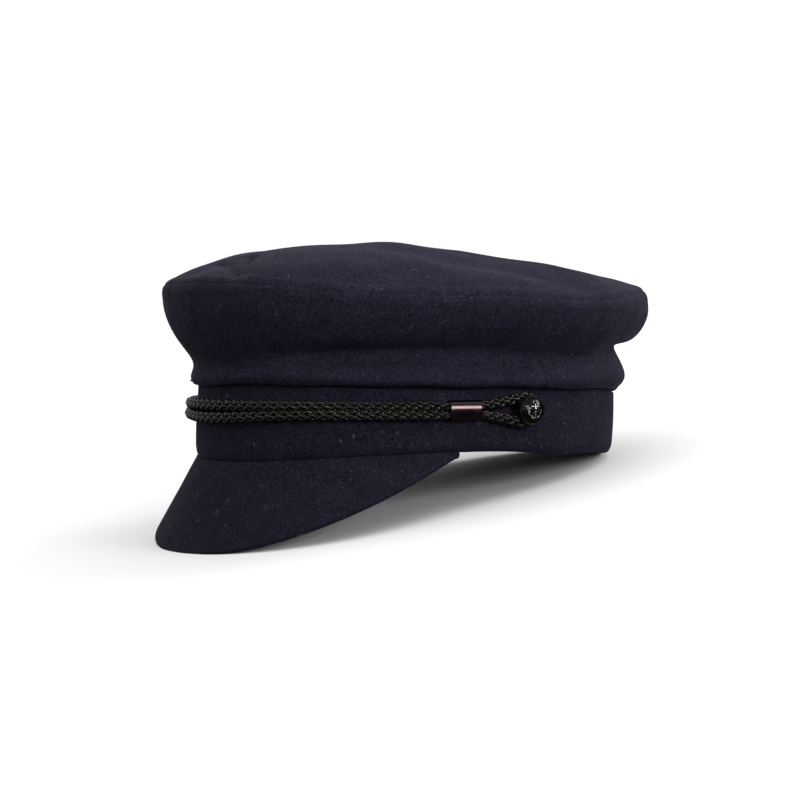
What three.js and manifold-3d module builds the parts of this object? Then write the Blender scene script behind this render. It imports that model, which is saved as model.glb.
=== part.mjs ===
// Breton fisherman cap in melton wool: a soft crown of one top panel and two wall panels, seated on a
// stiff band, with a curved peak and a doubled braided cord held by two domed buttons.
// Millimetres, +Z up. The front is towards -Y and the wearer's left is towards +X. The cap stands as
// it would by itself, on the edge of its peak and the back of its band.

import * as THREE from 'three';
import { mergeVertices } from 'three/addons/utils/BufferGeometryUtils.js';
import Module from 'manifold-3d';

const wasm = await Module();
wasm.setup();

// Head opening and band
const headLength = 201.4;
const headWidth = 163.4;
const bandWall = 3;
const bandHeight = 30;
const bandLean = 1.6; // how far the band's top stands behind its rim
const bandBulge = 0.6; // how far the band's middle stands out
const rimTuck = 1.5; // how far the band's lower edge is rounded in
const rimArch = 5.5; // how far the rim lifts over the ears

// Crown
const clothWall = 2;
const wallHeight = 46; // from the band's top to the seam of the top panel
const overhang = 19; // how far the crown stands out from the band at its widest
const rollOut = 4.4; // how far the small roll above the band stands out
const rollHeight = 5; // the roll's middle above the band's top
const topRise = 20; // how far the top panel domes above the seam
const foldDepth = 3; // depth of the dents and height of the ridges in the top panel
const seamAngle = 98; // degrees from the front to the wall's side seams

// Peak
const peakWall = 3.2;
const peakSeat = 0.4; // how far the peak's seam lies inside the band's face
const peakLength = 43.7; // along the slope, at the front
const peakEnd = 1.2; // the same, where the peak runs out at each side
const peakHalfAngle = 79; // degrees from the front to the peak's ends
const peakSlope = 65.3; // degrees below the rim, at the front
const peakFlare = 25; // how many degrees less it would slope straight over the ears
const peakSquareness = 2.92; // the higher, the longer the peak keeps its length towards the sides
const peakTaper = 1.18; // the higher, the more gently it runs out there
const peakCurl = 2.3; // how far the peak's edge curls down from its slope
const peakBevel = 2.2; // how far the underside of the peak's edge is cut back

// Cord, sleeves and buttons
const cordDiameter = 5;
const cordLevel = 0.65; // the cord's middle, as a share of the band's height
const sleeveLength = 15.5;
const sleeveHeight = 9.4;
const sleeveWall = 0.5;
const loopLength = 24.8; // from the button's middle to the mouth of its sleeve
const loopOpening = 12.4; // between the strands' middles at the button
const buttonAngle = 96.7; // degrees from the front
const buttonDiameter = 14.4;
const buttonDepth = 3.6; // the button's head, from its back to its middle
const postDiameter = 4.4;
const reliefHeight = 0.5; // how far the anchor stands above the button's face

// Clearance and rest
const gap = 0.3; // between pieces that touch
const pressed = 1.2; // how much the cloth edges flatten where the cap rests

// How finely the cloth is faceted
const frontColumns = 36;
const backColumns = 30;
const rowsPerFold = 2;
const topRings = 10;
const peakColumns = 30;
const peakRows = 6;
const cordSides = 8;
const buttonSides = 16;

// The crown's wall and the band's top at equal steps from the front, at 0, to the back, at 180 degrees.
// bandTop is a share of bandHeight, rollOut and pinchOut of rollOut, rollUp of rollHeight, the other
// Out columns of overhang and the other Up columns of wallHeight. topFullness says how steeply the top
// panel rises from its seam.
const wallTable = [
  { degrees: 0, bandTop: 1.2, rollOut: 0.94, rollUp: 0.9, pinchOut: 0.61, pinchUp: 0.205, bellyOut: 0.53,
    bellyUp: 0.44, shoulderOut: 0.81, shoulderUp: 0.785, seamOut: 0.82, seamUp: 1.01, topFullness: 2.8 },
  { degrees: 30, bandTop: 1.18, rollOut: 0.91, rollUp: 0.87, pinchOut: 0.64, pinchUp: 0.215, bellyOut: 0.55,
    bellyUp: 0.455, shoulderOut: 0.875, shoulderUp: 0.73, seamOut: 0.915, seamUp: 0.97, topFullness: 3 },
  { degrees: 60, bandTop: 1.05, rollOut: 0.96, rollUp: 0.98, pinchOut: 0.085, pinchUp: 0.3, bellyOut: 0.49,
    bellyUp: 0.475, shoulderOut: 0.895, shoulderUp: 0.74, seamOut: 0.93, seamUp: 0.91, topFullness: 3.3 },
  { degrees: 90, bandTop: 0.97, rollOut: 1, rollUp: 1, pinchOut: 0.18, pinchUp: 0.33, bellyOut: 0.535,
    bellyUp: 0.53, shoulderOut: 0.97, shoulderUp: 0.74, seamOut: 0.99, seamUp: 0.905, topFullness: 3.9 },
  { degrees: 120, bandTop: 0.97, rollOut: 0.97, rollUp: 1.25, pinchOut: 0.05, pinchUp: 0.365, bellyOut: 0.53,
    bellyUp: 0.51, shoulderOut: 0.92, shoulderUp: 0.75, seamOut: 0.94, seamUp: 0.915, topFullness: 5.1 },
  { degrees: 150, bandTop: 1.02, rollOut: 1.05, rollUp: 1.75, pinchOut: -0.07, pinchUp: 0.445, bellyOut: 0.4,
    bellyUp: 0.52, shoulderOut: 0.87, shoulderUp: 0.77, seamOut: 0.79, seamUp: 1.045, topFullness: 6.5 },
  { degrees: 180, bandTop: 1.02, rollOut: 0.95, rollUp: 1.7, pinchOut: 0, pinchUp: 0.44, bellyOut: 0.435,
    bellyUp: 0.51, shoulderOut: 0.79, shoulderUp: 0.76, seamOut: 0.775, seamUp: 1.01, topFullness: 7 },
];

// The top panel's height above the band's height and the wall's, as shares of topRise
const topLine = { front: 1.56, middle: 1.02, back: 0.56 };

// Dents and ridges of the top panel, each along a line. The line's ends are shares of half the head's
// width and half its length, width is a share of half the head's width, and depth of foldDepth.
const topFolds = [
  { name: 'front crease', fromX: 0.4, fromY: -1.06, toX: 0.02, toY: -1, width: 0.08, depth: -0.8 },
  { name: 'front crease, short arm', fromX: 0.36, fromY: -1.02, toX: 0.18, toY: -0.87, width: 0.07, depth: -0.6 },
  { name: 'left ridge', fromX: 0.5, fromY: 0, toX: 0.94, toY: 0.62, width: 0.14, depth: 0.46 },
  { name: 'hollow under the ridge', fromX: 0.86, fromY: -0.12, toX: 1.1, toY: 0.34, width: 0.13, depth: -0.6 },
  { name: 'right ridge', fromX: -0.55, fromY: -0.1, toX: -0.9, toY: 0.5, width: 0.16, depth: 0.6 },
  { name: 'crest', fromX: -0.75, fromY: -0.14, toX: 0.35, toY: -0.19, width: 0.26, depth: 0.87 },
];

// The loop between sleeve and button: how far from the button, as a share of loopLength, how far
// apart the strands, as a share of loopOpening, and how thick each, as a share of cordDiameter
const loopTable = [
  { away: 0.8, apart: 0.45, thick: 0.92 },
  { away: 0.58, apart: 0.68, thick: 1 },
  { away: 0.36, apart: 0.87, thick: 1 },
  { away: 0.16, apart: 0.97, thick: 0.96 },
  { away: 0, apart: 1, thick: 0.9 },
];

const radians = THREE.MathUtils.degToRad;
const clamp = THREE.MathUtils.clamp;
const cordRadius = cordDiameter / 2;

function material(color, roughness, metalness) {
  return new THREE.MeshStandardMaterial({ color, roughness, metalness });
}
const wool = material(0x1d1f2c, 0.95, 0);
const braid = material(0x101013, 0.6, 0);
const blackNickel = material(0x4a4543, 0.25, 1);
const blackEnamel = material(0x0b0b0d, 0.2, 0.3);

// A smooth curve through four evenly spaced values, at a share of the way from b to c
function catmullRom(a, b, c, d, share) {
  const slope = (c - a) / 2;
  const bend = a - 2.5 * b + 2 * c - d / 2;
  const twist = (d - a) / 2 + 1.5 * (b - c);
  return b + share * (slope + share * (bend + share * twist));
}

// A column of the wall's table at any angle, smooth all round and the same on both sides
function around(column, angle) {
  const last = wallTable.length - 1;
  const turn = Math.abs(Math.atan2(Math.sin(angle), Math.cos(angle))) / Math.PI;
  const row = Math.min(Math.floor(turn * last), last - 1);
  const value = (k) => wallTable[last - Math.abs(last - Math.abs(k))][column];
  return catmullRom(value(row - 1), value(row), value(row + 1), value(row + 2), turn * last - row);
}

// A point of the head's oval, in plan, at a distance outside the band's outer face
function onOval(angle, out) {
  const length = headLength / 2 + bandWall;
  const width = headWidth / 2 + bandWall;
  const normal = new THREE.Vector2(length * Math.sin(angle), -width * Math.cos(angle)).normalize();
  return new THREE.Vector2(width * Math.sin(angle), -length * Math.cos(angle)).addScaledVector(normal, out);
}

function outward(angle) {
  const normal = onOval(angle, 1).sub(onOval(angle, 0));
  return new THREE.Vector3(normal.x, normal.y, 0);
}

function rimRise(angle) {
  return rimArch * Math.sin(angle) ** 2;
}

function bandTop(angle) {
  return bandHeight * around('bandTop', angle);
}

// A point at a height above the rim, leaning back as the band does
function aboveRim(angle, out, up) {
  const plan = onOval(angle, out);
  return new THREE.Vector3(plan.x, plan.y + bandLean * clamp(up / bandHeight, 0, 1), rimRise(angle) + up);
}

// The band's outer face, v from the rim to the top, and a distance outside it
function onBand(angle, v, out) {
  const rounding = rimTuck * clamp(1 - 6 * v, 0, 1) ** 2;
  return aboveRim(angle, out + bandBulge * Math.sin(Math.PI * v) - rounding, v * bandTop(angle));
}

// The section of the crown's wall at an angle: over the band's edge, out round the roll, in at the
// pinch, then out over the belly and the shoulder to the seam
function wallSection(angle) {
  const at = (column) => around(column, angle);
  const top = bandTop(angle);
  return new THREE.SplineCurve([
    new THREE.Vector2(-bandWall, top + gap),
    new THREE.Vector2(0.5 * rollOut, top + gap + 0.1 * rollHeight),
    new THREE.Vector2(rollOut * at('rollOut'), top + rollHeight * at('rollUp')),
    new THREE.Vector2(rollOut * at('pinchOut'), top + wallHeight * at('pinchUp')),
    new THREE.Vector2(overhang * at('bellyOut'), top + wallHeight * at('bellyUp')),
    new THREE.Vector2(overhang * at('shoulderOut'), top + wallHeight * at('shoulderUp')),
    new THREE.Vector2(overhang * at('seamOut'), top + wallHeight * at('seamUp')),
  ]);
}
const foldsInWall = 6;

// A valley or ridge along a line, fading out to its sides and past its ends
function foldAt(fold, x, y) {
  const start = new THREE.Vector2(fold.fromX * headWidth / 2, fold.fromY * headLength / 2);
  const run = new THREE.Vector2(fold.toX * headWidth / 2, fold.toY * headLength / 2).sub(start);
  const offset = new THREE.Vector2(x, y).sub(start);
  const share = clamp(offset.dot(run) / run.lengthSq(), 0, 1);
  const away = offset.addScaledVector(run, -share).length() / (fold.width * headWidth / 2);
  return foldDepth * fold.depth * Math.exp(-away * away);
}

// The top panel at a share of the way from its seam to its middle: it rises from the seam as
// 1 - (1 - share)^fullness towards a line that falls from front to back
function topPoint(angle, share) {
  const seam = wallSection(angle).getPoint(1);
  const edge = aboveRim(angle, seam.x, seam.y);
  const point = edge.clone().lerp(new THREE.Vector3(0, bandLean, 0), share);
  const forward = -point.y / (headLength / 2);
  const { front, middle, back } = topLine;
  const line = middle + (front - back) / 2 * forward + ((front + back) / 2 - middle) * forward ** 2;
  const rise = 1 - (1 - share) ** around('topFullness', angle);
  point.z = THREE.MathUtils.lerp(edge.z, bandHeight + wallHeight + topRise * line, rise);
  for (const fold of topFolds) {
    point.z += foldAt(fold, point.x, point.y) * clamp(6 * share, 0, 1);
  }
  return point;
}

// The crown's outer face: v from 0 to 1 up the wall, and from 1 to 2 over the top panel
function crownPoint(angle, v) {
  if (v > 1) {
    return topPoint(angle, v - 1);
  }
  const section = wallSection(angle).getPoint(v);
  return aboveRim(angle, section.x, section.y);
}

function surfaceNormal(point, angle, low, high) {
  const turn = 0.01;
  const along = point(angle + turn, low).sub(point(angle - turn, low));
  const up = point(angle, high).sub(point(angle, low));
  return along.cross(up).normalize();
}

// The inside of the crown, one cloth thickness in, and mitred where wall and top panel meet
function crownInside(angle, v) {
  const step = 0.004;
  const point = crownPoint(angle, v);
  if (v > 1.999) {
    return point.sub(new THREE.Vector3(0, 0, clothWall));
  }
  if (v !== 1) {
    const low = Math.max(v - step, v > 1 ? 1 : 0);
    const normal = surfaceNormal(crownPoint, angle, low, Math.min(v + step, v > 1 ? 2 : 1));
    return point.addScaledVector(normal, -clothWall);
  }
  const wall = surfaceNormal(crownPoint, angle, 1 - step, 1);
  const top = surfaceNormal((a, w) => topPoint(a, w - 1), angle, 1, 1 + step);
  const mitre = wall.clone().add(top).normalize();
  return point.addScaledVector(mitre, -clothWall / mitre.dot(wall));
}

// A geometry from points and triangles, with the triangles that close to nothing left out
function fromTriangles(points, triangles) {
  const loose = new THREE.BufferGeometry();
  loose.setAttribute('position', new THREE.Float32BufferAttribute(points.flatMap((p) => p.toArray()), 3));
  loose.setIndex(triangles.flat());
  const merged = mergeVertices(loose, 1e-3);
  const index = merged.getIndex().array;
  const kept = [];
  for (let k = 0; k < index.length; k += 3) {
    const [a, b, c] = index.slice(k, k + 3);
    if (a !== b && b !== c && c !== a) {
      kept.push(a, b, c);
    }
  }
  merged.setIndex(kept);
  merged.computeVertexNormals();
  return merged;
}

// A closed solid between an outer and an inner grid of points. Each grid is a list of rows, from the
// bottom up, of points that run anticlockwise seen from above. A ring closes on itself.
function shell(outer, inner, ring) {
  const rows = outer.length;
  const columns = outer[0].length;
  const points = [...outer.flat(), ...inner.flat()];
  const out = (i, j) => i * columns + (j % columns);
  const inn = (i, j) => rows * columns + out(i, j);
  const triangles = [];
  const quad = (a, b, c, d) => triangles.push([a, b, c], [a, c, d]);
  const spans = ring ? columns : columns - 1;
  for (let j = 0; j < spans; j++) {
    for (let i = 0; i < rows - 1; i++) {
      quad(out(i, j), out(i, j + 1), out(i + 1, j + 1), out(i + 1, j));
      quad(inn(i, j + 1), inn(i, j), inn(i + 1, j), inn(i + 1, j + 1));
    }
    quad(inn(0, j), inn(0, j + 1), out(0, j + 1), out(0, j));
    quad(out(rows - 1, j), out(rows - 1, j + 1), inn(rows - 1, j + 1), inn(rows - 1, j));
  }
  for (let i = 0; i < rows - 1 && !ring; i++) {
    quad(inn(i, 0), out(i, 0), out(i + 1, 0), inn(i + 1, 0));
    quad(out(i, spans), inn(i, spans), inn(i + 1, spans), out(i + 1, spans));
  }
  return fromTriangles(points, triangles);
}

function grid(rowValues, columnValues, point) {
  return rowValues.map((v) => columnValues.map((u) => point(u, v)));
}

function steps(from, to, count) {
  return Array.from({ length: count + 1 }, (_, k) => THREE.MathUtils.lerp(from, to, k / count));
}

const frontAngles = steps(-radians(seamAngle), radians(seamAngle), frontColumns);
const backAngles = steps(radians(seamAngle), 2 * Math.PI - radians(seamAngle), backColumns);
const ringAngles = [...frontAngles.slice(0, -1), ...backAngles.slice(0, -1)];

// A wall panel, held back by half a gap from its neighbour at each side and from the top panel
function crownWall(angles) {
  const turn = gap / headWidth;
  const inset = angles.map((angle, k) => angle + (k === 0 ? turn : 0) - (k === angles.length - 1 ? turn : 0));
  const rows = steps(0, 1, foldsInWall * rowsPerFold);
  const lowered = new THREE.Vector3(0, 0, -gap / 2);
  const outer = grid(rows, inset, crownPoint);
  const inner = grid(rows, inset, crownInside);
  for (const top of [outer.at(-1), inner.at(-1)]) {
    top.forEach((point) => point.add(lowered));
  }
  return shell(outer, inner, false);
}

// Rings close up towards the seam, where the panel bends most
function crownTop() {
  const rings = steps(0, 1, topRings).map((share) => 1 + share ** 1.4);
  const raised = new THREE.Vector3(0, 0, gap / 2);
  const outer = grid(rings, ringAngles, crownPoint);
  const inner = grid(rings, ringAngles, crownInside);
  for (const seam of [outer[0], inner[0]]) {
    seam.forEach((point) => point.add(raised));
  }
  return shell(outer, inner, true);
}

function band() {
  const rows = [0, 0.1, 0.55, 1];
  const outer = grid(rows, ringAngles, (angle, v) => onBand(angle, v, 0));
  const inner = grid(rows, ringAngles, (angle, v) => aboveRim(angle, -bandWall, v * bandTop(angle)));
  return shell(outer, inner, true);
}

// The peak, side from -1 to 1 across it and v from 0 at its edge to 1 at the band
function peakPoint(side, v) {
  const angle = side * radians(peakHalfAngle);
  const slope = radians(peakSlope - peakFlare * Math.sin(angle) ** 2);
  const reach = peakEnd + (peakLength - peakEnd) * (1 - Math.abs(side) ** peakSquareness) ** peakTaper;
  const down = (1 - v) * reach;
  const point = aboveRim(angle, -peakSeat, -gap);
  point.addScaledVector(outward(angle), down * Math.cos(slope));
  point.z -= down * Math.sin(slope) + peakCurl * (down / peakLength) ** 2;
  return point;
}

// The peak's underside: thinner and level with the rim at the band, square to the slope further down,
// and cut back at the edge
function peakInside(side, edgeShare) {
  const step = 0.01;
  const v = edgeShare + peakBevel / peakLength * (1 - edgeShare) ** 8;
  const ends = (u) => clamp(u, -0.98, 0.98);
  const low = clamp(v - step, 0, 1 - step);
  const along = peakPoint(ends(side) + step, v).sub(peakPoint(ends(side) - step, v));
  const up = peakPoint(side, low + step).sub(peakPoint(side, low));
  const square = along.cross(up).normalize();
  const level = new THREE.Vector3(square.x, square.y, 0).divideScalar(square.x ** 2 + square.y ** 2);
  const share = THREE.MathUtils.smoothstep(1 - v, 0, 0.35);
  const wall = peakWall * THREE.MathUtils.lerp(0.7, 1, share);
  return peakPoint(side, v).addScaledVector(level.lerp(square, share), -wall);
}

function peak() {
  const rows = steps(0, 1, peakRows);
  const sides = steps(-1, 1, peakColumns);
  return shell(grid(rows, sides, peakPoint), grid(rows, sides, peakInside), false);
}

// The angle at a distance along the band from another angle, towards the front
function angleTowardsFront(start, distance) {
  const count = 24;
  let angle = start;
  for (let k = 0; k < count; k++) {
    const turn = 0.01;
    const speed = onOval(angle, cordRadius).distanceTo(onOval(angle - turn, cordRadius)) / turn;
    angle -= distance / count / speed;
  }
  return angle;
}

const buttonTurn = radians(buttonAngle);
const sleeveTurn = angleTowardsFront(buttonTurn, loopLength + sleeveLength / 2);
const sleeveFront = angleTowardsFront(buttonTurn, loopLength + sleeveLength);

// Inside a sleeve the two strands are squeezed, one above the other
const squeezedRadius = (sleeveHeight / 2 - sleeveWall - 1.5 * gap) / 2;
const squeezedRise = squeezedRadius + gap / 2;
const sleeveOut = squeezedRadius + gap + sleeveWall;

// A frame on the band at the cord's level: x along the band, y up and z out
function frameOnBand(angle, out) {
  const group = new THREE.Group();
  const normal = outward(angle);
  const up = new THREE.Vector3(0, 0, 1);
  group.quaternion.setFromRotationMatrix(new THREE.Matrix4().makeBasis(up.clone().cross(normal), up, normal));
  group.position.copy(onBand(angle, cordLevel, out));
  return group;
}

function sleeveFrame(side) {
  return frameOnBand(side * sleeveTurn, 2 * gap + sleeveOut);
}

// One place along a strand: its middle, the way out of the band, and the strand's radius
function strandStation(angle, rise, radius) {
  const v = cordLevel + rise / bandTop(angle);
  return { point: onBand(angle, v, gap + radius), out: outward(angle), radius };
}

// Two places on the straight line through a sleeve, from the front mouth to the mouth at the button
function sleeveStations(side, rise) {
  const frame = sleeveFrame(side);
  frame.updateMatrix();
  return [-0.5, 0, 0.5].map((share) => ({
    point: new THREE.Vector3(side * share * sleeveLength, rise, 0).applyMatrix4(frame.matrix),
    out: outward(side * sleeveTurn),
    radius: squeezedRadius,
  }));
}

// One strand from the front's middle to its button, on the left or right side, above or below
function strand(side, above) {
  const rise = above * (cordRadius + gap / 2);
  const freeSteps = 13;
  const lastFree = angleTowardsFront(sleeveFront, cordDiameter);
  const free = steps(0, lastFree, freeSteps).map((angle) => strandStation(side * angle, rise, cordRadius));
  const loop = loopTable.map(({ away, apart, thick }) => strandStation(
    side * angleTowardsFront(buttonTurn, away * loopLength),
    above * apart * loopOpening / 2,
    thick * cordRadius,
  ));
  return [...free, ...sleeveStations(side, above * squeezedRise), ...loop];
}

// The turn behind a button, round its post, from the upper strand to the lower
function turnRoundPost(side) {
  const { thick } = loopTable.at(-1);
  const reach = postDiameter / 2 + gap + thick * cordRadius;
  return [60, 30, 0, -30, -60].map((degrees) => strandStation(
    side * angleTowardsFront(buttonTurn, -reach * Math.cos(radians(degrees))),
    loopOpening / 2 * Math.sin(radians(degrees)),
    thick * cordRadius,
  ));
}

// The cord is one closed loop: over the front, round the left post, back below, and round the right
function cord() {
  const [leftAbove, leftBelow] = [strand(1, 1), strand(1, -1)];
  const [rightAbove, rightBelow] = [strand(-1, 1), strand(-1, -1)];
  const stations = [
    ...leftAbove, ...turnRoundPost(1), ...leftBelow.reverse(),
    ...rightBelow.slice(1), ...turnRoundPost(-1).reverse(), ...rightAbove.slice(1).reverse(),
  ];
  const count = stations.length;
  const points = [];
  const triangles = [];
  stations.forEach(({ point, out, radius }, k) => {
    const ahead = stations[(k + 1) % count].point.clone().sub(stations[(k + count - 1) % count].point).normalize();
    const side = ahead.clone().cross(out).normalize();
    const normal = side.clone().cross(ahead);
    for (let corner = 0; corner < cordSides; corner++) {
      const turn = 2 * Math.PI * corner / cordSides;
      const rim = point.clone().addScaledVector(normal, radius * Math.cos(turn));
      points.push(rim.addScaledVector(side, radius * Math.sin(turn)));
      const a = k * cordSides + corner;
      const b = k * cordSides + (corner + 1) % cordSides;
      const c = (k + 1) % count * cordSides + (corner + 1) % cordSides;
      const d = (k + 1) % count * cordSides + corner;
      triangles.push([a, b, c], [a, c, d]);
    }
  });
  return fromTriangles(points, triangles);
}

// A ring with flat sides and round ends, as seen along the sleeve
function stadium(path, halfHeight, halfDepth) {
  const middle = halfHeight - halfDepth;
  path.moveTo(halfDepth, -middle);
  path.lineTo(halfDepth, middle);
  path.absarc(0, middle, halfDepth, 0, Math.PI);
  path.lineTo(-halfDepth, -middle);
  path.absarc(0, -middle, halfDepth, Math.PI, 2 * Math.PI);
  return path;
}

function sleeve() {
  const outline = stadium(new THREE.Shape(), sleeveHeight / 2, sleeveOut);
  outline.holes.push(stadium(new THREE.Path(), sleeveHeight / 2 - sleeveWall, sleeveOut - sleeveWall));
  const tube = new THREE.ExtrudeGeometry(outline, { depth: sleeveLength, bevelEnabled: false, curveSegments: 6 });
  return tube.translate(0, 0, -sleeveLength / 2).rotateY(Math.PI / 2);
}

function toSolid(geometry) {
  const bare = geometry.clone();
  bare.deleteAttribute('normal');
  bare.deleteAttribute('uv');
  const merged = mergeVertices(bare, 1e-4);
  return new wasm.Manifold(new wasm.Mesh({
    numProp: 3,
    vertProperties: merged.getAttribute('position').array,
    triVerts: merged.getIndex().array,
  }));
}

function toGeometry(solid) {
  const mesh = solid.getMesh();
  const geometry = new THREE.BufferGeometry();
  geometry.setAttribute('position', new THREE.BufferAttribute(mesh.vertProperties, 3));
  geometry.setIndex(new THREE.BufferAttribute(mesh.triVerts, 1));
  geometry.computeVertexNormals();
  return geometry;
}

const buttonRadius = buttonDiameter / 2;
const buttonSeat = cordDiameter * loopTable.at(-1).thick + gap; // the post's length, behind the button's head
const fieldRadius = 0.78 * buttonRadius;

// The button's section: post, back, rounded rim, groove and dome, turned about its middle
function buttonProfile(raise) {
  const back = buttonSeat;
  const dome = steps(0, 1, 3).map((share) => new THREE.Vector2(
    fieldRadius * (1 - share),
    back + raise + buttonDepth * (0.5 + 0.5 * Math.sin(share * Math.PI / 2)),
  ));
  return [
    new THREE.Vector2(0, 0),
    new THREE.Vector2(postDiameter / 2, 0),
    new THREE.Vector2(postDiameter / 2, back),
    new THREE.Vector2(0.93 * buttonRadius, back),
    new THREE.Vector2(buttonRadius, back + 0.17 * buttonDepth),
    new THREE.Vector2(buttonRadius, back + 0.42 * buttonDepth),
    new THREE.Vector2(0.95 * buttonRadius, back + 0.6 * buttonDepth),
    new THREE.Vector2(0.87 * buttonRadius, back + 0.62 * buttonDepth),
    new THREE.Vector2(fieldRadius * 1.02, back + raise + 0.5 * buttonDepth),
    ...dome,
  ];
}

// A block as wide and high as stated, standing through the button's face
function block(width, height, x, y) {
  const shape = new THREE.Shape([
    new THREE.Vector2(x - width / 2, y - height / 2),
    new THREE.Vector2(x + width / 2, y - height / 2),
    new THREE.Vector2(x + width / 2, y + height / 2),
    new THREE.Vector2(x - width / 2, y + height / 2),
  ]);
  return toSolid(new THREE.ExtrudeGeometry(shape, { depth: 2 * buttonDepth, bevelEnabled: false }));
}

// A ring or part ring between two radii, standing through the button's face
function arch(outer, inner, y, from, to) {
  const shape = new THREE.Shape();
  shape.absarc(0, y, outer, from, to, false);
  shape.absarc(0, y, inner, to, from, true);
  return toSolid(new THREE.ExtrudeGeometry(shape, { depth: 2 * buttonDepth, bevelEnabled: false, curveSegments: 4 }));
}

// A plain anchor: ring, stock, shank and arms, in shares of the button's field
function anchor() {
  const unit = fieldRadius;
  const bar = 0.17 * unit;
  return block(bar, 1.24 * unit, 0, -0.06 * unit)
    .add(block(0.74 * unit, bar, 0, 0.3 * unit))
    .add(arch(0.21 * unit, 0.09 * unit, 0.62 * unit, 0.02, 2 * Math.PI - 0.02))
    .add(arch(0.66 * unit, 0.66 * unit - 1.2 * bar, -0.06 * unit, Math.PI * 1.08, Math.PI * 1.92))
    .add(block(1.7 * bar, 1.7 * bar, -0.58 * unit, -0.2 * unit))
    .add(block(1.7 * bar, 1.7 * bar, 0.58 * unit, -0.2 * unit));
}

function turned(raise) {
  return new THREE.LatheGeometry(buttonProfile(raise), buttonSides).rotateX(Math.PI / 2);
}

function button() {
  const relief = anchor().translate(0, 0, buttonSeat).intersect(toSolid(turned(reliefHeight)));
  return toGeometry(toSolid(turned(0)).add(relief));
}

function place(parent, name, geometry, look) {
  const mesh = new THREE.Mesh(geometry, look);
  mesh.name = name;
  parent.add(mesh);
  return mesh;
}

const cap = new THREE.Group();
place(cap, 'crown_top', crownTop(), wool.clone());
place(cap, 'crown_front_wall', crownWall(frontAngles), wool.clone());
place(cap, 'crown_back_wall', crownWall(backAngles), wool.clone());
const bandMesh = place(cap, 'band', band(), wool.clone());
const peakMesh = place(cap, 'peak', peak(), wool.clone());
place(cap, 'cord', cord(), braid);
for (const [name, side] of [['left', 1], ['right', -1]]) {
  const onSleeve = sleeveFrame(side);
  place(onSleeve, `sleeve_${name}`, sleeve(), blackNickel.clone());
  const onButton = frameOnBand(side * buttonTurn, gap);
  place(onButton, `button_${name}`, button(), blackEnamel.clone());
  cap.add(onSleeve, onButton);
}

// The lowest height that a mesh reaches when the cap is tipped back by an angle
function lowest(mesh, tip) {
  const position = mesh.geometry.getAttribute('position');
  let low = Infinity;
  for (let k = 0; k < position.count; k++) {
    low = Math.min(low, position.getZ(k) * Math.cos(tip) - position.getY(k) * Math.sin(tip));
  }
  return low;
}

// The cap tips back until the peak's edge and the band's back stand on the same level
function restingTip() {
  let [less, more] = [0, Math.PI / 4];
  for (let k = 0; k < 50; k++) {
    const middle = (less + more) / 2;
    if (lowest(peakMesh, middle) < lowest(bandMesh, middle)) {
      less = middle;
    } else {
      more = middle;
    }
  }
  return (less + more) / 2;
}

// The cloth is pressed flat where it meets the surface that the cap stands on
function pressFlat(mesh, matrix) {
  const position = mesh.geometry.getAttribute('position');
  const back = matrix.clone().invert();
  const point = new THREE.Vector3();
  for (let k = 0; k < position.count; k++) {
    point.fromBufferAttribute(position, k).applyMatrix4(matrix);
    point.z = Math.max(point.z, 0);
    point.applyMatrix4(back);
    position.setXYZ(k, point.x, point.y, point.z);
  }
}

const tip = restingTip();
cap.rotation.x = -tip;
cap.position.z = -lowest(bandMesh, tip) - pressed;
cap.updateMatrixWorld(true);
pressFlat(bandMesh, cap.matrixWorld);
pressFlat(peakMesh, cap.matrixWorld);
const middle = new THREE.Box3().setFromObject(cap, true).getCenter(new THREE.Vector3());
cap.position.x -= middle.x;
cap.position.y -= middle.y;

const standing = new THREE.Group();
standing.add(cap);

export default standing;
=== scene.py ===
"""Breton fisherman cap in black-blue melton wool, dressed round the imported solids.

The soft pieces are surfaces of two parameters, worked out with numpy in the cap's own frame: +Z up, the
front towards -Y and the wearer's left towards +X, with the band's lowest edge at z = 0. The whole cap is
then tipped back until it stands on its peak's edge and the back of its band. Metres throughout.
"""

import math

import bpy
import numpy as np
from bpy.props import FloatProperty, FloatVectorProperty, PointerProperty
from bpy.types import Operator, Panel, PropertyGroup
from mathutils import Matrix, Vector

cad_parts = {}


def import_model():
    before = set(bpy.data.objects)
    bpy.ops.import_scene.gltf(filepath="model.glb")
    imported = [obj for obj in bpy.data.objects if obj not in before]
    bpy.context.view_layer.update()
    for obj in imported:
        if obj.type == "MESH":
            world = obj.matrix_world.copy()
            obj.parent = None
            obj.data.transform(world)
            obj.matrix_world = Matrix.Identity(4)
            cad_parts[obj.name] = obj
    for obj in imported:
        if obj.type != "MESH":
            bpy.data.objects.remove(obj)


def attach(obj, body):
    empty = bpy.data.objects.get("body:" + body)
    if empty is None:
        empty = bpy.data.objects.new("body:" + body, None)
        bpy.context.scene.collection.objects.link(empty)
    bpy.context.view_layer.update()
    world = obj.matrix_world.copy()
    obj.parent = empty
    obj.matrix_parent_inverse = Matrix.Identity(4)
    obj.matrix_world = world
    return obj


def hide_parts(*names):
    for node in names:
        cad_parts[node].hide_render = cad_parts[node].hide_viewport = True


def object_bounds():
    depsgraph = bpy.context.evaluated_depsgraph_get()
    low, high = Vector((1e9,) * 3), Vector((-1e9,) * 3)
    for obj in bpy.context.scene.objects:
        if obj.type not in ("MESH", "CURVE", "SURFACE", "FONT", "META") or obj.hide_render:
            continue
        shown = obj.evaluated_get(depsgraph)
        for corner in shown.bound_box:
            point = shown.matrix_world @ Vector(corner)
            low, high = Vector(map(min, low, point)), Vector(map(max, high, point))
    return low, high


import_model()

bl_info = {
    "name": "Breton fisherman cap",
    "version": (1, 0, 0),
    "blender": (4, 5, 0),
    "location": "View3D > Sidebar > Cap",
    "description": "Builds a wool fisherman cap with a braided cord, piece by piece",
    "category": "Object",
}

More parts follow.
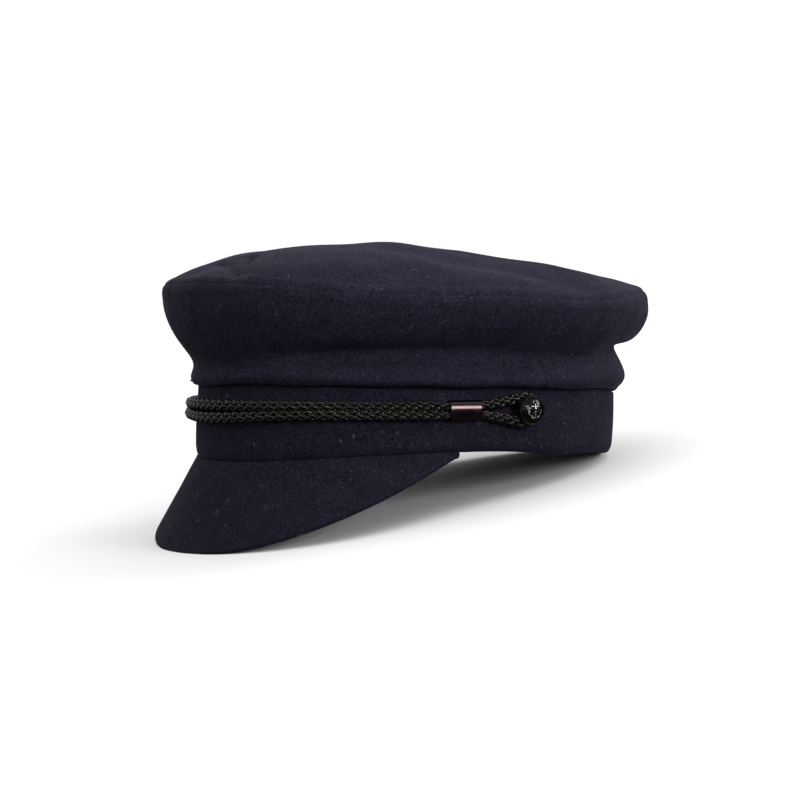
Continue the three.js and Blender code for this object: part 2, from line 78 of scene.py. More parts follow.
CAD_BOX = [list(corner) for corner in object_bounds()]
MM = 0.001
BODY = "root"


def millimetres(name, description, default):
    """A length property whose default is given in millimetres."""
    return FloatProperty(name=name, description=description, default=default * MM, unit="LENGTH", precision=5)


def share(name, description, default):
    """A property that is a share of something else."""
    return FloatProperty(name=name, description=description, default=default, subtype="FACTOR", precision=3)


def degrees(name, description, default):
    """An angle property whose default is given in degrees."""
    return FloatProperty(name=name, description=description, default=math.radians(default), unit="ROTATION")


def linear(text):
    """The linear colour of an sRGB hex value: c / 12.92 below 0.04045, ((c + 0.055) / 1.055)^2.4 above."""
    levels = [int(text[k:k + 2], 16) / 255 for k in (0, 2, 4)]
    return tuple(c / 12.92 if c <= 0.04045 else ((c + 0.055) / 1.055) ** 2.4 for c in levels)


def colour(name, description, text):
    """A colour property whose default is an sRGB hex value."""
    return FloatVectorProperty(name=name, description=description, default=linear(text), subtype="COLOR",
                               min=0.0, max=1.0)


def table(columns, *rows):
    """A table's rows, each a dictionary of its named columns."""
    return [dict(zip(columns, row)) for row in rows]


class CapSizes(PropertyGroup):
    """The cap's driving sizes"""

    head_length: millimetres("Head length", "Inside the band, front to back", 201.4)
    head_width: millimetres("Head width", "Inside the band, side to side", 163.4)
    band_wall: millimetres("Band wall", "Thickness of the stiff band", 3)
    band_height: millimetres("Band height", "Height of the band over the ears", 30)
    band_lean: millimetres("Band lean", "How far the band's top stands behind its rim", 1.6)
    band_bulge: millimetres("Band bulge", "How far the band's middle stands out", 0.6)
    rim_tuck: millimetres("Rim tuck", "How far the band's lower edge is rounded in", 1.5)
    rim_arch: millimetres("Rim arch", "How far the rim lifts over the ears", 5.5)
    cloth_wall: millimetres("Cloth", "Thickness of the wool", 2)
    wall_height: millimetres("Wall height", "From the band to the top panel's seam", 46)
    overhang: millimetres("Overhang", "How far the crown stands out from the band", 19)
    roll_out: millimetres("Roll out", "How far the roll above the band stands out", 4.4)
    roll_height: millimetres("Roll height", "The roll's middle above the band", 5)
    top_rise: millimetres("Top rise", "How far the top panel domes above its seam", 20)
    fold_depth: millimetres("Fold depth", "Depth of the top panel's dents", 3)
    seam_angle: degrees("Seam angle", "From the front to the top of the wall's side seams", 98)
    seam_lean: degrees("Seam lean", "How much further back the side seams end at the band", 5)
    peak_wall: millimetres("Peak wall", "Thickness of the peak", 3.2)
    peak_seat: millimetres("Peak seat", "How far the peak's seam lies inside the band's face", 0.4)
    peak_length: millimetres("Peak length", "Down the slope, at the front", 43.7)
    peak_end: millimetres("Peak end", "The same, where the peak runs out", 1.2)
    peak_half_angle: degrees("Peak half angle", "From the front to the peak's ends", 79)
    peak_slope: degrees("Peak slope", "Below the rim, at the front", 65.3)
    peak_flare: degrees("Peak flare", "How much less it would slope straight over the ears", 25)
    peak_squareness: share("Peak squareness", "The higher, the longer it keeps its length to the sides", 2.92)
    peak_taper: share("Peak taper", "The higher, the more gently it runs out there", 1.18)
    peak_curl: millimetres("Peak curl", "How far the peak's edge curls down", 2.3)
    peak_bevel: millimetres("Peak bevel", "How far the underside of the edge is cut back", 2.2)
    cord_diameter: millimetres("Cord diameter", "Thickness of one strand", 5)
    cord_level: share("Cord level", "The cord's middle, as a share of the band's height", 0.65)
    braid_lay: millimetres("Braid lay", "Length in which a yarn goes once round the cord", 21)
    sleeve_length: millimetres("Sleeve length", "Along the cord", 15.5)
    sleeve_height: millimetres("Sleeve height", "Across both strands", 9.4)
    sleeve_wall: millimetres("Sleeve wall", "Thickness of the metal", 0.5)
    loop_length: millimetres("Loop length", "From the button to the mouth of its sleeve", 24.8)
    loop_opening: millimetres("Loop opening", "Between the strands' middles at the button", 12.4)
    button_angle: degrees("Button angle", "From the front to the button", 96.7)
    button_diameter: millimetres("Button diameter", "Across the rim", 14.4)
    button_depth: millimetres("Button depth", "From the button's back to its middle", 3.6)
    post_diameter: millimetres("Post diameter", "The post behind the button", 4.4)
    gap: millimetres("Gap", "Between pieces that touch", 0.3)
    pressed: millimetres("Pressed", "How much the cloth flattens where the cap rests", 1.2)


class CapCloth(PropertyGroup):
    """How the wool hangs: seams, puckers and unevenness"""

    seam_depth: millimetres("Seam depth", "How deep a seam draws the cloth in", 1.1)
    seam_width: millimetres("Seam width", "How far from the seam the cloth turns in", 0.9)
    seam_puff: millimetres("Seam puff", "How far the cloth swells beside a seam", 0.36)
    pucker: millimetres("Pucker", "Height of the small waves along a seam", 0.13)
    uneven: millimetres("Unevenness", "Height of the slow waves all over the crown", 0.45)
    wall_fold: millimetres("Wall fold", "Depth of the folds in the crown's wall", 2.2)
    crease: millimetres("Crease", "Depth of the fine creases in the top panel", 1.1)
    edge_round: millimetres("Edge rounding", "Radius of the band's lower edge", 1.2)
    groove_depth: millimetres("Groove depth", "How far the band's upper edge lies back under the roll", 2.4)
    groove_height: millimetres("Groove height", "Height of the groove above the band's face", 1.3)


class CapColours(PropertyGroup):
    """The cap's colours"""

    wool: colour("Wool", "Ground of the milled wool", "272534")
    wool_dark: colour("Wool, dark", "Between the fibres", "0c0b14")
    wool_lint: colour("Wool lint", "Loose paler fibres", "5e5b68")
    sheen: colour("Wool sheen", "The nap's bloom at grazing angles", "c9c4e0")
    yarn: colour("Yarn", "The braid's filaments", "050405")
    nickel: colour("Black nickel", "The sleeves' plating", "2e2527")
    button: colour("Button", "The buttons' black lacquer", "040405")
    bare_metal: colour("Bare metal", "The buttons' crests, polished bare", "c4c0c9")
    floor: colour("Floor", "The studio's floor", "e2e2e3")


# The crown's wall and the band's top, one value for each step of 30 degrees from the front to the back.
# band_top is a share of the band's height, roll_out and pinch_out of roll_out, roll_up of roll_height,
# the other out rows of the overhang and the other up rows of the wall's height. fullness says how
# steeply the top panel rises from its seam.
WALL = {
    "band_top": (1.2, 1.18, 1.05, 0.97, 0.97, 1.02, 1.02),
    "roll_out": (0.94, 0.91, 0.96, 1, 0.97, 1.05, 0.95),
    "roll_up": (0.9, 0.87, 0.98, 1, 1.25, 1.75, 1.7),
    "pinch_out": (0.61, 0.64, 0.085, 0.18, 0.05, -0.07, 0),
    "pinch_up": (0.205, 0.215, 0.3, 0.33, 0.365, 0.445, 0.44),
    "belly_out": (0.53, 0.55, 0.49, 0.535, 0.53, 0.4, 0.435),
    "belly_up": (0.44, 0.455, 0.475, 0.53, 0.51, 0.52, 0.51),
    "shoulder_out": (0.81, 0.875, 0.895, 0.97, 0.92, 0.87, 0.79),
    "shoulder_up": (0.785, 0.73, 0.74, 0.74, 0.75, 0.77, 0.76),
    "seam_out": (0.82, 0.915, 0.93, 0.99, 0.94, 0.79, 0.775),
    "seam_up": (1.01, 0.97, 0.91, 0.905, 0.915, 1.045, 1.01),
    "fullness": (2.8, 3, 3.3, 3.9, 5.1, 6.5, 7),
}

# The top panel's height above the band's height and the wall's, as shares of its rise
TOP_LINE = {"front": 1.56, "middle": 1.02, "back": 0.56}

FOLD = ("name", "start", "end", "width", "depth")

# Dents and ridges of the top panel, each along a line whose ends are shares of half the head's width and
# half its length. width is a share of half the head's width, and depth of fold_depth.
TOP_FOLDS = table(
    FOLD,
    ("front crease", (0.4, -1.07), (-0.06, -0.96), 0.07, -0.45),
    ("short arm", (0.4, -1.06), (0.13, -0.87), 0.06, -0.4),
    ("left ridge", (0.5, 0), (0.94, 0.62), 0.14, 0.46),
    ("hollow", (0.86, -0.12), (1.1, 0.34), 0.13, -0.6),
    ("right ridge", (-0.55, -0.1), (-0.9, 0.5), 0.16, 0.6),
    ("crest", (-0.75, -0.14), (0.35, -0.19), 0.26, 0.87),
)

# Finer creases of the top panel, in the same way, with depth a share of the crease depth
TOP_CREASES = table(
    FOLD,
    ("front crease's line", (0.4, -1.07), (-0.04, -0.955), 0.024, -0.7),
    ("short arm's line", (0.41, -1.06), (0.14, -0.875), 0.022, -0.7),
    ("lip of the crease", (0.34, -1.0), (0.1, -0.93), 0.03, 0.4),
    ("ridge's crest", (0.52, 0.05), (0.9, 0.58), 0.06, 0.5),
    ("right crease", (-0.3, -1.02), (-0.5, -0.7), 0.05, -0.5),
)

# Where the roll above the band hangs lower: the middle and the spread in degrees from the front, and the
# drop in millimetres. The band's lower edge sags in the same way.
SAG = ("middle", "spread", "down")
ROLL_DROOP = table(SAG, (-26, 40, 2.8), (152, 26, -1.3), (66, 46, 0.7))
RIM_SAG = table(SAG, (112, 14, 1.8), (-114, 15, 1.2))

# Folds of the crown's wall, from one place to another. An angle is in degrees from the front, and up is a
# share of the wall. width is in millimetres and depth a share of wall_fold.
WALL_FOLDS = table(
    FOLD,
    ("long fold", (16, 0.54), (100, 0.47), 4.2, -1.45),
    ("deep end of it", (24, 0.53), (68, 0.5), 2.6, -0.6),
    ("roll below it", (10, 0.4), (100, 0.37), 5, 0.45),
    ("fullness by the seam", (86, 0.5), (140, 0.5), 9, 1.1),
    ("hanging crease", (42.5, 0.99), (49, 0.73), 1.8, -0.35),
    ("small dark crease", (70, 0.8), (78, 0.78), 3, -0.3),
    ("front dent", (-24, 0.5), (10, 0.46), 5, -0.5),
    ("back dent", (150, 0.5), (172, 0.56), 8, -0.5),
    ("right fold", (-38, 0.45), (-84, 0.47), 4.5, -0.9),
    ("right dent", (-118, 0.56), (-140, 0.5), 7, -0.45),
)

# The loop between sleeve and button: how far from the button, as a share of loop_length, how far apart
# the strands, as a share of loop_opening, and how thick each, as a share of the cord's diameter
LOOP = table(
    ("away", "apart", "thick"),
    (0.8, 0.42, 0.98),
    (0.58, 0.56, 1.06),
    (0.36, 0.74, 1.1),
    (0.16, 0.88, 1.08),
    (0, 0.94, 1),
)


def sizes():
    """The scene's cap sizes."""
    return bpy.context.scene.cap_sizes


def cloth():
    """The scene's settings for how the wool hangs."""
    return bpy.context.scene.cap_cloth


def unit(vectors, axis=-1):
    """The vectors made one long."""
    return vectors / np.linalg.norm(vectors, axis=axis, keepdims=True)


def wrapped(angle):
    """The angle from -180 to 180 degrees."""
    return np.arctan2(np.sin(angle), np.cos(angle))


def bell(distance, width):
    """A smooth hump one high: exp(-(distance / width)^2)."""
    return np.exp(-(distance / width) ** 2)


def rounding(distance, radius):
    """How far a rounded edge lies back, as a share of its radius: 1 - sqrt(1 - (1 - distance / radius)^2)."""
    return 1 - np.sqrt(1 - np.clip(1 - distance / radius, 0, 1) ** 2)


def around(row, angle):
    """A row of the wall's table at any angle, as the cosine series that passes through all its values:
    the sum of c_k cos(k angle)."""
    values = np.array(WALL[row])
    turns = np.arange(len(values))
    knots = np.cos(np.outer(turns * math.pi / (len(values) - 1), turns))
    series = np.linalg.solve(knots, values)
    return np.cos(np.multiply.outer(angle, turns)) @ series


def spline_weights(at, count):
    """How much each of count evenly spaced values weighs at each place, from 0 to 1, on the natural cubic
    spline through them: (1 - w) p + w q + ((1 - w)^3 - (1 - w)) P / 6 + (w^3 - w) Q / 6, where P and Q are
    the spline's second derivatives at the values p and q."""
    second = np.zeros((count, count))
    system = np.eye(count)
    for k in range(1, count - 1):
        system[k, k - 1:k + 2] = (1, 4, 1)
        second[k, k - 1:k + 2] = (6, -12, 6)
    second = np.linalg.solve(system, second)
    left = np.minimum((at * (count - 1)).astype(int), count - 2)
    w = (at * (count - 1) - left)[:, None]
    values = np.eye(count)
    return ((1 - w) * values[left] + w * values[left + 1]
            + ((1 - w) ** 3 - (1 - w)) * second[left] / 6 + (w ** 3 - w) * second[left + 1] / 6)


def on_oval(angle, out):
    """The head's oval in plan, at a distance outside the band's outer face: (b sin, -a cos) plus the
    distance times the oval's normal (a sin, -b cos), made one long. Returns x, y and the normal."""
    s = sizes()
    a = s.head_length / 2 + s.band_wall
    b = s.head_width / 2 + s.band_wall
    normal = unit(np.stack([a * np.sin(angle), -b * np.cos(angle)]), 0)
    return b * np.sin(angle) + out * normal[0], -a * np.cos(angle) + out * normal[1], normal


def outward(angle):
    """The level direction straight out of the band at an angle."""
    normal = on_oval(np.asarray(angle, float), 0)[2]
    return np.stack([*normal, np.zeros_like(normal[0])], -1)


def above_rim(angle, out, up):
    """A point at a height above the rim, leaning back as the band does. The rim lifts over the ears as
    rim_arch sin^2."""
    s = sizes()
    x, y, _ = on_oval(angle, out)
    lean = s.band_lean * np.clip(up / s.band_height, 0, 1)
    return np.stack([x, y + lean, s.rim_arch * np.sin(angle) ** 2 + up], -1)


def band_top(angle):
    """The band's height at an angle."""
    return sizes().band_height * around("band_top", angle)


def hanging(angle, sags):
    """How far something hangs at an angle: the sum of down exp(-((angle - middle) / spread)^2)."""
    turned = np.degrees(wrapped(angle))
    return sum(sag["down"] * MM * bell(turned - sag["middle"], sag["spread"]) for sag in sags)


def tucked(v):
    """How far the band's lowest sixth is rounded in: rim_tuck (1 - 6 v)^2."""
    return sizes().rim_tuck * np.clip(1 - 6 * v, 0, 1) ** 2


def on_band(angle, v, out):
    """The band's outer face, v from the rim to the top, and a distance outside it. The face bulges as
    band_bulge sin(pi v), is tucked in below, and hangs lower as (1 - v)^2 where the rim sags."""
    bulge = sizes().band_bulge * np.sin(math.pi * v)
    point = above_rim(angle, out + bulge - tucked(v), v * band_top(angle))
    point[..., 2] -= hanging(angle, RIM_SAG) * (1 - v) ** 2
    return point


# How far round the cap the lean of a side seam is felt
SWEEP = math.radians(30)


def swept(angles, ups):
    """The angles of a grid whose columns follow the side seams, which lean back as they go down: seam_lean
    (1 - up) at the seam, and less away from it."""
    s = sizes()
    turned = wrapped(angles)
    near = bell(np.abs(turned) - s.seam_angle, SWEEP)
    return angles + (s.seam_lean * near * np.sign(turned)) * (1 - ups[:, None])


def wall_surface(columns, ups):
    """The crown's wall, rows up and columns round: at each angle a section through seven points, over the
    band's edge, out round the roll, in at the pinch, then out over belly and shoulder to the seam. Where
    the roll droops, it hangs down outside the band."""
    s = sizes()
    angles = swept(columns, ups)
    top = band_top(angles)
    out = np.stack([
        np.full_like(angles, -s.band_wall),
        np.full_like(angles, 0.5 * s.roll_out),
        s.roll_out * around("roll_out", angles),
        s.roll_out * around("pinch_out", angles),
        *(s.overhang * around(f"{part}_out", angles) for part in ("belly", "shoulder", "seam")),
    ])
    up = np.stack([
        np.full_like(top, s.gap),
        np.full_like(top, s.gap + 0.1 * s.roll_height),
        s.roll_height * around("roll_up", angles),
        *(s.wall_height * around(f"{part}_up", angles) for part in ("pinch", "belly", "shoulder", "seam")),
    ])
    weights = spline_weights(ups, len(out))
    out, up = (np.einsum("rk,krc->rc", weights, part) for part in (out, up))
    outside = np.clip(out / (0.5 * s.roll_out), 0, 1) ** 2
    low = bell(np.maximum(up, 0), 1.2 * s.roll_height)
    return above_rim(angles, out, top + up - hanging(angles, ROLL_DROOP) * outside * low)


def to_segment(x, y, start, end):
    """How far each place lies from the straight line between two points, and which share of the line it
    is beside."""
    start, end = np.array(start), np.array(end)
    run = end - start
    offset = np.stack([x - start[0], y - start[1]], -1)
    part = np.clip(offset @ run / (run @ run), 0, 1)
    return np.linalg.norm(offset - part[..., None] * run, axis=-1), part


def fold_heights(x, y, folds, units, width, tapered=False):
    """The sum of the folds' heights, each depth exp(-(distance / width)^2), with the ends of their lines as
    shares of two units. A tapered one dies away to its ends as 1 - |2 share - 1|^3."""
    height = np.zeros(x.shape)
    for fold in folds:
        away, part = to_segment(x, y, np.multiply(fold["start"], units), np.multiply(fold["end"], units))
        taper = 1 - np.abs(2 * part - 1) ** 3 if tapered else 1
        height += fold["depth"] * taper * bell(away, fold["width"] * width)
    return height


def top_folds(x, y, folds):
    """The height of some folds of the top panel, on its plan, for a depth of one."""
    s = sizes()
    return fold_heights(x, y, folds, (s.head_width / 2, s.head_length / 2), s.head_width / 2)


def top_surface(angles, shares):
    """The top panel, from its seam at share 0 to its middle at share 1: straight lines in plan towards the
    middle, rising as 1 - (1 - share)^fullness to a curved line that falls from front to back."""
    s = sizes()
    edge = wall_surface(angles, np.array([1.0]))[0]
    part = shares[:, None]
    x = edge[:, 0] * (1 - part)
    y = edge[:, 1] * (1 - part) + s.band_lean * part
    forward = -y / (s.head_length / 2)
    front, middle, back = (TOP_LINE[k] for k in ("front", "middle", "back"))
    line = middle + (front - back) / 2 * forward + ((front + back) / 2 - middle) * forward ** 2
    rise = 1 - (1 - part) ** around("fullness", angles)
    z = edge[:, 2] + (s.band_height + s.wall_height + s.top_rise * line - edge[:, 2]) * rise
    z += s.fold_depth * top_folds(x, y, TOP_FOLDS) * np.clip(6 * part, 0, 1)
    return np.stack([x, y, z], -1)


def normals(points, ring):
    """The outward normal of each point of a grid: the way round crossed with the way up."""
    along = np.roll(points, -1, 1) - np.roll(points, 1, 1) if ring else np.gradient(points, axis=1)
    square = np.cross(along, np.gradient(points, axis=0))
    return square / np.maximum(np.linalg.norm(square, axis=-1, keepdims=True), 1e-12)


# The cloth's unevenness: the longest and the shortest of its waves in millimetres, how many there are, and
# the seed of their directions. The puckers are those beside a seam or an edge.
WAVES = {
    "crown": (70, 22, 9, 4),
    "crown pucker": (16, 7, 7, 9),
    "band": (60, 20, 8, 15),
    "band pucker": (14, 6, 6, 21),
    "peak": (50, 16, 8, 31),
}
# What the waves' heights add up to, about
WAVES_TOTAL = 1.6


def waves(points, kind):
    """Slow unevenness about one high: the sum of plane waves in all directions, each as high as it is long,
    over a total that evens them out."""
    longest, shortest, count, seed = WAVES[kind]
    random = np.random.default_rng(seed)
    total = np.zeros(points.shape[:-1])
    longest, shortest = longest * MM, shortest * MM
    for length in np.geomspace(longest, shortest, count):
        direction = random.normal(size=3)
        direction *= 2 * math.pi / length / np.linalg.norm(direction)
        total += length / longest * np.sin(points @ direction + random.uniform(0, 2 * math.pi))
    return total / WAVES_TOTAL


def seam_profile(distance):
    """The cloth at a distance from a seam: drawn in by seam_depth exp(-(d / width)^1.3), and swollen by
    seam_puff exp(-((d - 4.2 width) / (2.6 width))^2) beside it."""
    c = cloth()
    near = np.exp(-(distance / c.seam_width) ** 1.3)
    hump = bell(distance - 4.2 * c.seam_width, 2.6 * c.seam_width)
    return -c.seam_depth * near + c.seam_puff * hump


def distance_to_seams(points, angles):
    """How far each point of the crown lies from the nearer side seam, measured level."""
    off = np.abs(np.abs(wrapped(angles)) - sizes().seam_angle)
    return off * np.hypot(points[..., 0], points[..., 1])


def clustered(start, end, count, tight):
    """Places from start to end that close up at both ends: t - tight sin(2 pi t) / (2 pi)."""
    t = np.linspace(0, 1, count)
    return start + (end - start) * (t - tight * np.sin(2 * math.pi * t) / (2 * math.pi))


def tipped(points, tip):
    """Points or directions tipped back: y' = y cos + z sin, z' = z cos - y sin."""
    x, y, z = np.moveaxis(points, -1, 0)
    return np.stack([x, y * math.cos(tip) + z * math.sin(tip), z * math.cos(tip) - y * math.sin(tip)], -1)


def settle(points):
    """Tips the cap back and moves it to where it stands. What would go below the surface is pressed flat
    on it."""
    tip, move = resting_place()
    stood = tipped(points, tip) + move
    stood[..., 2] = np.maximum(stood[..., 2], 0)
    return stood


RESTING = {}


def resting_place():
    """The tip at which the peak and the band stand on one level, found by halving, and how far the cap
    then moves back and up, so that its box is centred as the frame's is."""
    if "place" not in RESTING:
        angles = np.linspace(0, 2 * math.pi, 720, endpoint=False)
        rim = on_band(angles[None], np.linspace(0, 0.2, 30)[:, None], 0)
        peak = peak_section(160)
        crown = wall_surface(angles, np.linspace(0, 1, 80))
        less, more = 0.0, math.pi / 4
        for _ in range(50):
            tip = (less + more) / 2
            peak_low, rim_low = (tipped(part, tip)[..., 2].min() for part in (peak, rim))
            less, more = (tip, more) if peak_low < rim_low else (less, tip)
        back = -(tipped(peak, tip)[..., 1].min() + tipped(crown, tip)[..., 1].max()) / 2
        RESTING["place"] = tip, np.array([0, back, -rim_low - sizes().pressed])
    return RESTING["place"]


def mesh_object(name, points, faces, attributes=None):
    """A mesh object of that name, smooth all over, with its points' attributes."""
    mesh = bpy.data.meshes.new(name)
    mesh.from_pydata(points.tolist(), [], faces)
    mesh.shade_smooth()
    for key, values in (attributes or {}).items():
        attribute = mesh.attributes.new(key, "FLOAT_VECTOR", "POINT")
        attribute.data.foreach_set("vector", values.astype(np.float32).ravel())
    obj = bpy.data.objects.new(name, mesh)
    bpy.context.scene.collection.objects.link(obj)
    return obj


def grid_faces(rows, columns, close_rows, close_columns):
    """The quads of a grid whose points are numbered row by row."""
    i = np.arange(rows if close_rows else rows - 1)[:, None]
    j = np.arange(columns if close_columns else columns - 1)[None]
    low, high = i * columns, (i + 1) % rows * columns
    near, far = j, (j + 1) % columns
    return np.stack(np.broadcast_arrays(low + near, low + far, high + far, high + near), -1).reshape(-1, 4)


def ring_shell(outer, inner):
    """A wall all round the cap: up the outer grid and down the inner one, closed both ways."""
    points = np.concatenate([outer, inner[::-1]])
    rows, columns = points.shape[:2]
    return points.reshape(-1, 3), grid_faces(rows, columns, True, True).tolist()


def panel_shell(outer, inner):
    """A wall between two ends: up the outer grid and down the inner one, with a strip across each end."""
    points = np.concatenate([outer, inner[::-1]])
    rows, columns = points.shape[:2]
    faces = grid_faces(rows, columns, True, False)
    out = np.arange(len(outer) - 1)
    inn = rows - 1 - out
    start = np.stack([inn * columns, out * columns, (out + 1) * columns, (inn - 1) * columns], -1)
    end = start[:, ::-1] + columns - 1
    return points.reshape(-1, 3), np.concatenate([faces, start, end]).tolist()


def pole_fans(rows, columns):
    """The triangles that close a grid at both ends, with the first pole numbered just after the grid's
    points and the last one after that."""
    j = np.arange(columns)
    after = (j + 1) % columns
    last, pole = (rows - 1) * columns, np.full(columns, rows * columns)
    fans = np.stack([pole, after, j], -1), np.stack([last + j, last + after, pole + 1], -1)
    return np.concatenate(fans).tolist()


def dome_shell(outer, inner, outer_pole, inner_pole):
    """A dome: from the inner pole out to the edge and back to the outer pole, with a fan at each pole."""
    points = np.concatenate([inner[::-1], outer])
    rows, columns = points.shape[:2]
    faces = grid_faces(rows, columns, False, True).tolist() + pole_fans(rows, columns)
    return np.concatenate([points.reshape(-1, 3), [inner_pole, outer_pole]]), faces


# The grids' rows and columns, and how tightly they close up at seams and edges
FRONT_COLUMNS, BACK_COLUMNS, COLUMNS_TIGHT = 250, 210, 0.8
WALL_ROWS, WALL_TIGHT, TOP_ROWS, TOP_POWER = 100, 0.55, 84, 1.7
BAND_ROWS, BAND_TIGHT = 46, 0.8
PEAK_ROWS, PEAK_TIGHT, PEAK_COLUMNS, PEAK_SIDE_TIGHT = 54, 0.75, 230, 0.6


def crown_angles():
    """The columns round the crown, close together at the side seams: the front panel's, then the back's."""
    seam = sizes().seam_angle
    front = clustered(-seam, seam, FRONT_COLUMNS, COLUMNS_TIGHT)
    back = clustered(seam, 2 * math.pi - seam, BACK_COLUMNS, COLUMNS_TIGHT)
    return np.concatenate([front[:-1], back[:-1]])


def wall_folds(angles, ups):
    """The height of the wall's folds, for a depth of one, on the wall laid flat."""
    s = sizes()
    spread = (s.head_width + s.head_length) / 4 + 0.6 * s.overhang
    x, y = np.broadcast_arrays(wrapped(angles)[None] * spread, ups[:, None] * s.wall_height)
    return fold_heights(x, y, WALL_FOLDS, (math.radians(1) * spread, s.wall_height), MM, tapered=True)


# How far from a seam or an edge the puckers die away
CROWN_PUCKER_REACH, BAND_PUCKER_REACH = 7 * MM, 4 * MM


def crown_relief(points, seam_distance):
    """Slow waves all over, and short ones that die away from the seams."""
    c = cloth()
    pucker = c.pucker * waves(points, "crown pucker") * np.exp(-seam_distance / CROWN_PUCKER_REACH)
    return c.uneven * waves(points, "crown") + pucker


# The side seams are pressed flatter than the top one: their depth as a share of its depth
SIDE_SEAM = 0.45
# At a seam, each of its two sides draws back by this share of the gap
SEAM_SHARE = 0.25
# The wall's lowest rows are plain, up to this distance. The top panel is out of the side seams' reach.
PLAIN, OUT_OF_REACH = 3 * MM, 1.0


def crown():
    """The crown as one surface: rows up the wall and over the top, with the seams' valleys, the folds and
    the unevenness added square to it. Returns its outer and inner grids."""
    c = cloth()
    angles = crown_angles()
    ups = clustered(0, 1, WALL_ROWS, WALL_TIGHT)
    shares = np.linspace(0, 1, TOP_ROWS + 1)[1:-1] ** TOP_POWER
    top = top_surface(angles, shares)
    base = np.concatenate([wall_surface(angles, ups), top])
    square = normals(base, True)
    climb = np.cumsum(np.linalg.norm(np.diff(base, axis=0), axis=-1), axis=0)
    climb = np.concatenate([np.zeros_like(climb[:1]), climb])
    from_top_seam = np.abs(climb - climb[WALL_ROWS - 1])
    from_side = distance_to_seams(base, angles[None])
    from_side[WALL_ROWS:] = OUT_OF_REACH
    seams = seam_profile(from_top_seam) + SIDE_SEAM * seam_profile(from_side)
    relief = seams + crown_relief(base, np.minimum(np.minimum(from_top_seam, from_side), climb))
    relief[:WALL_ROWS] += c.wall_fold * wall_folds(angles, ups)
    relief[WALL_ROWS:] += c.crease * top_folds(top[..., 0], top[..., 1], TOP_CREASES)
    relief *= np.clip(climb / PLAIN, 0, 1)
    outer = base + square * relief[..., None]
    inner = base + square * (relief - seams - sizes().cloth_wall)[..., None]
    return outer, inner


def crown_part(rows, seam, shift):
    """Some rows of the crown's outer and inner grids, with the row at the top seam moved up or down."""
    parts = [grid[rows].copy() for grid in crown()]
    for part in parts:
        part[seam, :, 2] += shift
    return parts


def half_gap(grid):
    """Draws a panel's two ends in along the cloth, for the seam between the panels."""
    drawn = grid.copy()
    for end, near in ((0, 1), (-1, -2)):
        drawn[:, end] += SEAM_SHARE * sizes().gap * unit(grid[:, near] - grid[:, end])
    return drawn


def wall_panel(name, node, start, count):
    """One wall panel of the crown, between the side seams."""
    grids = crown_part(slice(0, WALL_ROWS), -1, -SEAM_SHARE * sizes().gap)
    columns = np.arange(start, start + count)
    grids = [half_gap(np.take(grid, columns, axis=1, mode="wrap")) for grid in grids]
    return piece(name, node, "wool_cloth", *panel_shell(*grids))


def piece(name, node, slot, points, faces, attributes=None):
    """One piece of the cap, stood where it rests, with its material, the body that it rides on, the node
    that it stands for and its slot."""
    obj = mesh_object(name, settle(points), faces, attributes)
    material, make = MATERIALS[slot]
    obj.data.materials.append(bpy.data.materials.get(material) or make(material))
    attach(obj, BODY)
    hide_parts(node)
    return obj


def top_panel():
    """The oval top panel of the crown."""
    outer, inner = crown_part(slice(WALL_ROWS - 1, None), 0, SEAM_SHARE * sizes().gap)
    middle = outer[-1].mean(0)
    under = middle - np.array([0, 0, sizes().cloth_wall])
    return piece("top_panel", "crown_top", "wool_cloth", *dome_shell(outer, inner, middle, under))


# The groove under the roll: its middle and spread from the front, how sharply it ends, and how deep it is
# elsewhere, as a share of its depth there
GROOVE = {"middle": math.radians(66), "spread": math.radians(46), "ease": 0.2 * MM, "least": 0.35}
# The band's unevenness and pucker, and the peak's unevenness, as shares of the crown's
BAND_UNEVEN, BAND_PUCKER, PEAK_UNEVEN = 0.22, 0.5, 0.3
# What the turned edges leave of the band's wall, and how far its inner face turns in
BAND_LEAST, INNER_TURN = 0.5 * MM, 0.3 * MM


def band():
    """The stiff band: the outer face up, the inner face down, both turned in round its folded edges. Under
    the roll its upper edge lies back by groove_depth (1 - tanh((distance - groove_height) / 0.2 mm)) / 2,
    most at the sides."""
    s, c = sizes(), cloth()
    angles = crown_angles()[None]
    v = clustered(0, 1, BAND_ROWS, BAND_TIGHT)[:, None]
    height = v * band_top(angles)
    from_top = band_top(angles) - height
    from_edge = np.minimum(height, from_top)
    at_side = np.exp(-((np.abs(wrapped(angles)) - GROOVE["middle"]) / GROOVE["spread"]) ** 6)
    groove = 0.5 - 0.5 * np.tanh((from_top - c.groove_height) / GROOVE["ease"])
    turn = np.maximum(c.edge_round * rounding(from_edge, c.edge_round),
                      c.groove_depth * groove * (GROOVE["least"] + (1 - GROOVE["least"]) * at_side))
    outer = on_band(angles, v, 0)
    relief = BAND_UNEVEN * c.uneven * waves(outer, "band")
    relief += BAND_PUCKER * c.pucker * waves(outer, "band pucker") * np.exp(-from_edge / BAND_PUCKER_REACH)
    relief -= np.minimum(turn, s.band_wall - tucked(v) - BAND_LEAST)
    outer = outer + outward(angles) * relief[..., None]
    inner = above_rim(angles, -s.band_wall + np.minimum(turn, INNER_TURN), height)
    inner[..., 2] -= hanging(angles, RIM_SAG) * (1 - v) ** 2
    points, faces = ring_shell(outer, inner)
    return piece("stiff_band", "band", "wool_cloth", points, faces, {"pressed": np.ones_like(points)})


